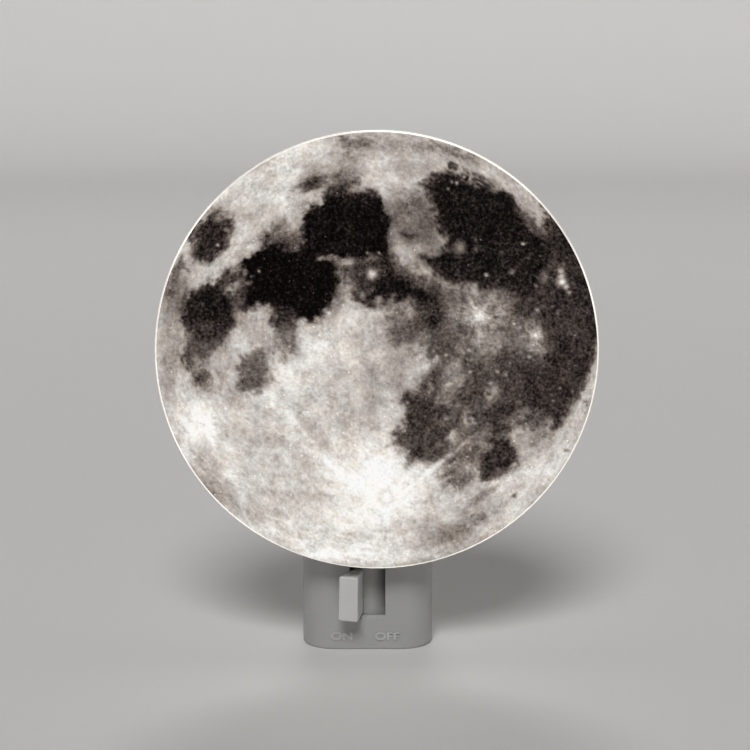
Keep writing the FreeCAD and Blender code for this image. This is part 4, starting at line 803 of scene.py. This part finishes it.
def print_finish(settings):
    """Light through printed film: the print's own tones, finer mottling and pits, and a satin face."""
    made = Finish("printed_film", roughness=0.5, specular_ior_level=settings.ink_sheen)
    tones = made.node("Attribute", attribute_name="moon_tone")
    parts = made.node("SeparateColor")
    made.link(tones.outputs["Color"], parts.inputs["Color"])
    tone, cover = parts.outputs[0], parts.outputs[1]
    fine = made.spread(made.noise(0.9, 5, 0.75), 0.3, 0.7, -settings.fine_grain, settings.fine_grain)
    more_in_seas = made.spread(cover, 0, 1, 1, 2.0)
    pits = made.cells(1.6)
    pit = made.spread(pits["Distance"], 0.05, 0.22, 1, 0)
    chance = made.node("SeparateColor")
    made.link(pits["Color"], chance.inputs["Color"])
    bright = made.maths("MULTIPLY", pit, made.spread(chance.outputs[0], 0.75, 1, 0, 0.30))
    mottled = made.maths("ADD", tone, made.maths("MULTIPLY", fine, more_in_seas))
    patches = made.spread(made.noise(5, 5, 0.65), 0.36, 0.64, 0, 1)
    tint = made.blend(patches, WARM_TINT, COOL_TINT)
    shade = made.blend(1.0, made.ramp(made.maths("ADD", mottled, bright), INKS), tint, "MULTIPLY")
    made.feed(shade, "emission color")
    made.set("emission strength", settings.glow)
    made.feed(made.blend(FILM_BASE, shade, (0, 0, 0)), "base color")
    made.bump(made.noise(0.6, 2, 0.5), 0.000004, 0.3)
    return made.material


class NIGHTLIGHT_OT_moon_print(bpy.types.Operator):
    """Makes the printed film with its full moon and puts it on the disc"""
    bl_idname = "nightlight.moon_print"
    bl_label = "Moon print"

    def execute(self, context):
        settings = context.scene.nightlight_print
        middle = (PRINT_LOW + PRINT_HIGH) / 2
        x, z, quads, edge = disc_grid(settings.cells, settings.radius)
        tone, cover = Print(x / MM, z / MM).tones()
        grid = len(x)
        front = np.stack([x + middle.x, np.full(grid, PRINT_LOW.y), z + middle.z], -1)
        back = front[edge].copy()
        back[:, 1] = PRINT_HIGH.y
        heart = np.array([[middle.x, PRINT_HIGH.y, middle.z]])
        ring = np.arange(len(edge)) + grid
        faces = quads[:, ::-1].tolist()
        for k in range(len(edge)):
            n = (k + 1) % len(edge)
            faces.append([int(edge[n]), int(edge[k]), int(ring[k]), int(ring[n])])
            faces.append([int(ring[n]), int(ring[k]), grid + len(edge)])
        film = piece("moon_film", np.concatenate([front, back, heart]).tolist(), faces,
                     print_finish(settings), "shade")
        values = np.ones((len(film.data.vertices), 4), np.float32)
        values[:grid, 0], values[:grid, 1] = tone, cover
        values[grid:grid + len(edge), :2] = values[edge, :2]
        values[-1, :2] = HIDDEN_TONE, 0
        tones = film.data.attributes.new("moon_tone", "FLOAT_COLOR", "POINT")
        tones.data.foreach_set("color", values.ravel())
        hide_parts("moon_print")
        return {"FINISHED"}


# Disc, bracket and pads

BULB_LIGHT = (   # distance on the plate's back, in twice the bulb's reach, and the light's colour there
    (0.0, (1.0, 0.72, 0.42)), (0.25, (0.62, 0.42, 0.23)), (0.55, (0.20, 0.135, 0.075)),
    (1.0, (0.05, 0.036, 0.022)))
BULB_LIGHT_RISE = 0.004                   # its middle above the middle of the glass
RIM_WIDTH, RIM_CORE = 0.0009, 0.00055     # of the whole lit rim, and of its full light
LIGHT_FADES = (0.0003, 0.0009)            # depths behind the plate's front that its light fades between
FADED_LIGHT = 0.4


class NIGHTLIGHT_OT_plate(bpy.types.Operator):
    """Finishes the opal plate, its bracket and its foam pads"""
    bl_idname = "nightlight.plate"
    bl_label = "Opal plate and bracket"

    def execute(self, context):
        housing = context.scene.nightlight_housing
        dress(self.opal(context.scene.nightlight_plate), "diffuser_disc")
        dress(moulded("bracket_plastic", housing.lever_white, housing.satin, housing.texture),
              "hanger_bracket")
        foam = Finish("foam", base_color=(0.86, 0.86, 0.83), roughness=0.9)
        pores = foam.cells(0.22)["Distance"]
        # painted shade: darker in the middles of the pores, where the bump sinks them
        shade = foam.blend(foam.spread(pores, 0, 0.6, 0, 1), (0.70, 0.70, 0.67), (0.90, 0.90, 0.87))
        foam.feed(shade, "base color")
        foam.bump(pores, 0.00008)
        dress(foam.material, "adhesive_pads")
        return {"FINISHED"}

    def opal(self, settings):
        """Opal acrylic: lit all round its rim, and on the back round the bulb."""
        made = Finish("opal_acrylic", base_color=settings.opal, roughness=0.22, coat_weight=0.4,
                      coat_roughness=0.06, ior=1.49)
        middle = (PLATE_LOW + PLATE_HIGH) / 2
        x, y, z = made.position()
        flat = made.node("CombineXYZ")
        made.link(x, flat.inputs[0])
        made.link(z, flat.inputs[2])
        from_middle = made.away(flat.outputs[0], (middle.x, 0, middle.z))
        from_bulb = made.away(flat.outputs[0], (0, 0, (GLASS_LOW.z + GLASS_HIGH.z) / 2 + BULB_LIGHT_RISE))
        radius = DISC_RADIUS * MM
        rim = made.spread(from_middle, radius - RIM_WIDTH, radius - RIM_CORE, 0, 1)
        side = made.spread(x, PLATE_LOW.x, PLATE_HIGH.x, 0, 1)
        rim_light = made.blend(side, settings.rim_left, settings.rim_right)
        bulb_light = made.ramp(made.spread(from_bulb, 0, settings.back_reach * 2, 0, 1), BULB_LIGHT)
        made.feed(made.blend(rim, bulb_light, rim_light), "emission color")
        front = made.spread(y, *(PLATE_LOW.y + depth for depth in LIGHT_FADES), 1, FADED_LIGHT)
        strength = made.spread(rim, 0, 1, settings.back_glow, settings.rim_glow)
        uneven = made.spread(made.noise(26, 2, 0.5), 0.35, 0.65, 0.5, 1)
        made.feed(made.maths("MULTIPLY", strength, made.maths("MULTIPLY", front, uneven)),
                  "emission strength")
        cloud = made.noise(6, 3, 0.5)
        made.feed(made.blend(cloud, settings.opal, toned(settings.opal, 0.96)), "base color")
        made.bump(made.noise(2.5, 2, 0.4), 0.000006, 0.2)
        return made.material


# Housing, words and switch

WORDS = (("ON", -0.0104, 0.0062), ("OFF", 0.0021, 0.0069))   # word, its left end and its width
WORDS_FOOT = 0.0028                                          # above the housing's foot
LETTERS = {"size": 1.0, "extrude": 0.05, "bevel_depth": 0.010, "bevel_resolution": 1, "offset": 0.03,
           "resolution_u": 8}   # a word's shape before it is fitted to its place
SHADE_FRONT_Y = FACE_Y - 0.0006    # the lever's own colour ends here and the painted shade of the rotor behind the housing's face begins


class NIGHTLIGHT_OT_housing(bpy.types.Operator):
    """Finishes the housing, its rear cover and the screws"""
    bl_idname = "nightlight.housing"
    bl_label = "Housing"

    def execute(self, context):
        settings = context.scene.nightlight_housing
        # the housing's colour carries painted shade
        dress(moulded("housing_plastic", settings.white, settings.satin, settings.texture), "front_shell")
        dress(moulded("cover_plastic", toned(settings.white, 0.97), settings.satin + 0.16,
                      settings.texture * 2, grain=0.5), "rear_cover")
        dress(metal("screw_steel", (0.60, 0.60, 0.61), 0.34, scale=(1, 0.2, 1), grain=0.2), "cover_screws")
        return {"FINISHED"}


class NIGHTLIGHT_OT_words(bpy.types.Operator):
    """Raises the words ON and OFF on the housing's front"""
    bl_idname = "nightlight.words"
    bl_label = "Raised words"

    def execute(self, context):
        settings = context.scene.nightlight_housing
        # painted highlight: a paler copy of the housing's colour for the raised words
        highlit = toned(settings.white, settings.word_highlight)
        material = moulded("raised_plastic", highlit, settings.satin - 0.1, settings.texture)
        for word, left, wide in WORDS:
            self.raise_word(context, settings, material, word, left, wide)
        return {"FINISHED"}

    def raise_word(self, context, settings, material, word, left, wide):
        """A word in relief, fitted to its place, half sunk in the housing's face."""
        text = bpy.data.curves.new("words", "FONT")
        text.body = word
        for key, value in LETTERS.items():
            setattr(text, key, value)
        holder = bpy.data.objects.new("words", text)
        context.scene.collection.objects.link(holder)
        context.view_layer.update()
        shape = holder.evaluated_get(context.evaluated_depsgraph_get())
        mesh = bpy.data.meshes.new_from_object(shape)
        bpy.data.objects.remove(holder)
        points = np.array([v.co for v in mesh.vertices])
        low, high = points.min(0), points.max(0)
        share = (points - low) / (high - low)
        x = left + share[:, 0] * wide
        y = FACE_Y + settings.word_rise * (1 - 2 * share[:, 2])
        z = HOUSING_LOW.z + WORDS_FOOT + share[:, 1] * settings.word_height
        mesh.vertices.foreach_set("co", np.stack([x, y, z], -1).astype(np.float32).ravel())
        mesh.materials.clear()
        mesh.materials.append(material)
        made = bpy.data.objects.new("word_" + word.lower(), mesh)
        context.scene.collection.objects.link(made)
        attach(made, "base")


class NIGHTLIGHT_OT_switch(bpy.types.Operator):
    """Finishes the lever with its rotor, the contact band and the detent spring"""
    bl_idname = "nightlight.switch"
    bl_label = "Switch"

    def execute(self, context):
        settings = context.scene.nightlight_housing
        # painted shade: the rotor behind the housing's face is given a darker colour than the lever
        lever = moulded("lever_plastic", settings.lever_white, settings.satin - 0.04, settings.texture * 0.8,
                        grain=0.3, inner=settings.rotor_painted_shade, front=SHADE_FRONT_Y)
        dress(lever, "switch_rotor")
        dress(metal("strip_brass", (0.74, 0.50, 0.27), 0.32, scale=(0.15, 1, 1)),
              "switch_wiper", "line_strip", "neutral_strip", "centre_contact")
        dress(metal("spring_steel", (0.42, 0.43, 0.46), 0.30, scale=(0.15, 0.15, 1)), "detent_spring")
        return {"FINISHED"}


class NIGHTLIGHT_OT_plug(bpy.types.Operator):
    """Finishes the plug blades and their rivets"""
    bl_idname = "nightlight.plug"
    bl_label = "Plug blades"

    def execute(self, context):
        dress(metal("blade_brass", (0.80, 0.63, 0.34), 0.27, scale=(1, 0.06, 1), grain=0.10, wear=0.16),
              "blade_line", "blade_neutral")
        dress(metal("rivet_brass", (0.76, 0.58, 0.31), 0.33, grain=0.3), "blade_rivets")
        return {"FINISHED"}


# Socket and bulb

LEAD_GAP = 0.0001      # from each end of the coil to the end of the CAD filament
COIL_ROOM = 0.00035    # above and below the coil's line
COIL_STEPS = 12        # points in each turn
COIL_OPENS = 0.06      # share of half the coil over which it opens from its lead
WIRE_SIDES = 6


class NIGHTLIGHT_OT_socket(bpy.types.Operator):
    """Finishes the insulating cup and the threaded shells of the socket and the bulb"""
    bl_idname = "nightlight.socket"
    bl_label = "Socket"

    def execute(self, context):
        dress(moulded("phenolic", (0.035, 0.030, 0.027), 0.55, 0.00003, grain=0.4), "socket_cup")
        dress(metal("shell_brass", (0.82, 0.66, 0.36), 0.26, scale=(1, 1, 3), grain=0.2),
              "socket_screw_shell", "bulb_screw_shell")
        return {"FINISHED"}


class NIGHTLIGHT_OT_bulb(bpy.types.Operator):
    """Finishes the bulb's glass, foot and leads"""
    bl_idname = "nightlight.bulb"
    bl_label = "Bulb"

    def execute(self, context):
        glass = Finish("bulb_glass", base_color=(0.97, 0.98, 0.985), roughness=0.02, ior=1.47,
                       transmission_weight=1.0)
        glass.bump(glass.noise(5, 2, 0.4), 0.00005, 0.12)
        dress(glass.material, "bulb_glass")
        stem = Finish("stem_glass", base_color=(0.90, 0.95, 0.93), roughness=0.06, ior=1.5,
                      transmission_weight=1.0)
        stem.bump(stem.noise(1.5, 2, 0.5), 0.00006, 0.3)
        dress(stem.material, "bulb_stem")
        dress(metal("lead_wire", (0.52, 0.49, 0.45), 0.3, scale=(1, 1, 0.1), grain=0.1), "bulb_leads")
        dress(metal("solder", (0.60, 0.60, 0.57), 0.36, grain=0.6, depth=0.00003), "bulb_tip_contact")
        dress(moulded("glass_black", (0.012, 0.012, 0.016), 0.16, 0.000008, grain=0.8), "bulb_insulator")
        return {"FINISHED"}


class NIGHTLIGHT_OT_filament(bpy.types.Operator):
    """Winds the glowing filament between its two leads"""
    bl_idname = "nightlight.filament"
    bl_label = "Filament"

    def execute(self, context):
        settings = context.scene.nightlight_bulb
        glowing = Finish("filament_glow", base_color=(0.3, 0.28, 0.25), roughness=0.5,
                         emission_color=settings.warmth, emission_strength=settings.glow)
        heat = glowing.noise(1.2, 2, 0.5)
        glowing.feed(glowing.blend(heat, settings.warmth, (1.0, 0.80, 0.46)), "emission color")
        vertices, faces = tube(self.wound(settings), settings.wire_radius, WIRE_SIDES)
        made = piece("filament_coil", vertices, faces, glowing.material, "bulb", smooth=True)
        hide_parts("bulb_filament")
        return {"FINISHED"}

    def wound(self, settings):
        """The coil's line: a bow from lead to lead, wound round."""
        middle = (FILAMENT_LOW + FILAMENT_HIGH) / 2
        half = (FILAMENT_HIGH.x - FILAMENT_LOW.x) / 2 - LEAD_GAP
        low = FILAMENT_LOW.z + COIL_ROOM
        rise = FILAMENT_HIGH.z - COIL_ROOM - low
        steps = settings.turns * COIL_STEPS
        share = np.linspace(-1, 1, steps + 1)
        bow_x, bow_z = share * half, low + rise * (1 - share ** 2)
        slope = np.arctan2(-2 * rise * share, half)
        turn = np.linspace(0, 2 * pi * settings.turns, steps + 1)
        radius = settings.coil_radius * soft(0, COIL_OPENS, 1 - abs(share))
        out = radius * np.cos(turn)
        x = bow_x - out * np.sin(slope)
        y = middle.y + radius * np.sin(turn)
        z = bow_z + out * np.cos(slope)
        return np.stack([x, y, z], -1)


def tube(points, radius, sides):
    """Vertices and faces of a round wire along points."""
    ahead = np.gradient(points, axis=0)
    ahead /= np.linalg.norm(ahead, axis=1)[:, None]
    across = np.cross(ahead, (0.0, 1.0, 0.0))
    across /= np.linalg.norm(across, axis=1)[:, None]
    up = np.cross(across, ahead)
    turns = np.linspace(0, 2 * pi, sides, endpoint=False)[:, None]
    rings = points[:, None] + radius * (across[:, None] * np.cos(turns) + up[:, None] * np.sin(turns))
    faces = []
    for k in range(len(points) - 1):
        for s in range(sides):
            n = (s + 1) % sides
            faces.append([k * sides + s, k * sides + n, (k + 1) * sides + n, (k + 1) * sides + s])
    faces.append(list(range(sides))[::-1])
    faces.append([(len(points) - 1) * sides + s for s in range(sides)])
    return rings.reshape(-1, 3).tolist(), faces


# Stage

FLAT_RING = 0.4            # of the backdrop's radius, where its flat floor has an inner ring of points
SWEEP, SWEEP_STEPS = 0.6, 14   # radius and points of the curve from floor to wall
WALL_HEIGHT = 0.9
BACKDROP_SIDES = 96
LAMP_SPREAD = radians(20)
SENSOR_WIDTH = 36          # millimetres
VIEW_DEPTHS = (0.01, 20)   # nearest and farthest that the camera sees


class NIGHTLIGHT_OT_stage(bpy.types.Operator):
    """Sets up the pale floor, the soft light and the camera"""
    bl_idname = "nightlight.stage"
    bl_label = "Stage"

    def execute(self, context):
        scene = context.scene
        settings = scene.nightlight_stage
        scene.view_settings.view_transform = "Standard"
        self.floor(settings)
        self.soft_light("key_light", settings.key, settings.key_side, settings.key_height)
        self.soft_light("back_light", settings.fill, pi, settings.key_height)
        world = bpy.data.worlds.new("room")
        world.use_nodes = True
        air = world.node_tree.nodes["Background"].inputs
        air["Color"].default_value = (1.0, 0.99, 0.97, 1)
        air["Strength"].default_value = settings.room
        scene.world = world
        self.camera(scene, settings)
        return {"FINISHED"}

    def floor(self, settings):
        """A round floor whose edge sweeps up into a wall."""
        paper = Finish("pale_paper", base_color=settings.floor, roughness=0.85)
        paper.feed(paper.blend(paper.noise(60, 3, 0.5), settings.floor, toned(settings.floor, 0.985)),
                   "base color")
        radius, base = settings.backdrop_radius, CAD_BOX[0].z
        profile = [(0.0, base), (radius * FLAT_RING, base), (radius - SWEEP, base)]
        profile += [(radius - SWEEP + SWEEP * sin(t), base + SWEEP - SWEEP * cos(t))
                    for t in np.linspace(0.1, pi / 2, SWEEP_STEPS)]
        profile.append((radius, base + WALL_HEIGHT))
        sides = BACKDROP_SIDES
        turns = [2 * pi * k / sides for k in range(sides)]
        vertices = [(r * cos(turn), r * sin(turn), z) for r, z in profile for turn in turns]
        faces = []
        for row in range(len(profile) - 1):
            for k in range(sides):
                n = (k + 1) % sides
                a, b = row * sides, (row + 1) * sides
                faces.append([a + k, a + n, b + n, b + k] if row else [a, b + n, b + k])
        backdrop = piece("backdrop", vertices, faces, paper.material, None, smooth=True)

    def soft_light(self, name, strength, side, height):
        """Even light from far away, from a wide soft source."""
        lamp = bpy.data.lights.new(name, "SUN")
        lamp.energy, lamp.angle = strength, LAMP_SPREAD
        made = bpy.data.objects.new(name, lamp)
        towards = Vector((sin(side) * cos(height), cos(side) * cos(height), -sin(height)))
        made.rotation_euler = towards.to_track_quat("-Z", "Y").to_euler()
        bpy.context.scene.collection.objects.link(made)

    def camera(self, scene, settings):
        """A camera in front of the disc that looks down at its middle."""
        lens = bpy.data.cameras.new("camera")
        lens.lens, lens.sensor_width = settings.lens, SENSOR_WIDTH
        lens.clip_start, lens.clip_end = VIEW_DEPTHS
        made = bpy.data.objects.new("camera", lens)
        back = Vector((0, -cos(settings.elevation), sin(settings.elevation)))
        made.location = Vector(settings.aim) + back * settings.distance
        made.rotation_euler = (pi / 2 - settings.elevation, 0, 0)
        scene.collection.objects.link(made)
        scene.camera = made


class NIGHTLIGHT_PT_panel(bpy.types.Panel):
    """Sizes, colours and steps of the night light"""
    bl_idname = "NIGHTLIGHT_PT_panel"
    bl_label = "Night Light"
    bl_space_type = "VIEW_3D"
    bl_region_type = "UI"
    bl_category = "Night Light"

    def draw(self, context):
        for group, name in GROUPS.items():
            box = self.layout.box()
            box.label(text=group.__doc__)
            for key in group.__annotations__:
                box.prop(getattr(context.scene, name), key)
        for step in STEPS:
            self.layout.operator(step.bl_idname)


GROUPS = {NightLightPrint: "nightlight_print", NightLightPlate: "nightlight_plate",
          NightLightHousing: "nightlight_housing", NightLightBulb: "nightlight_bulb",
          NightLightStage: "nightlight_stage"}
STEPS = (NIGHTLIGHT_OT_stage, NIGHTLIGHT_OT_housing, NIGHTLIGHT_OT_words, NIGHTLIGHT_OT_switch,
         NIGHTLIGHT_OT_plug, NIGHTLIGHT_OT_socket, NIGHTLIGHT_OT_bulb, NIGHTLIGHT_OT_filament,
         NIGHTLIGHT_OT_plate, NIGHTLIGHT_OT_moon_print)


def register():
    for made in (*GROUPS, *STEPS, NIGHTLIGHT_PT_panel):
        bpy.utils.register_class(made)
    for group, name in GROUPS.items():
        setattr(bpy.types.Scene, name, bpy.props.PointerProperty(type=group))


def unregister():
    for name in GROUPS.values():
        delattr(bpy.types.Scene, name)
    for made in reversed((*GROUPS, *STEPS, NIGHTLIGHT_PT_panel)):
        bpy.utils.unregister_class(made)


def main():
    register()
    for step in STEPS:
        group, name = step.bl_idname.split(".")
        getattr(getattr(bpy.ops, group), name)()


if __name__ == "__main__":
    main()
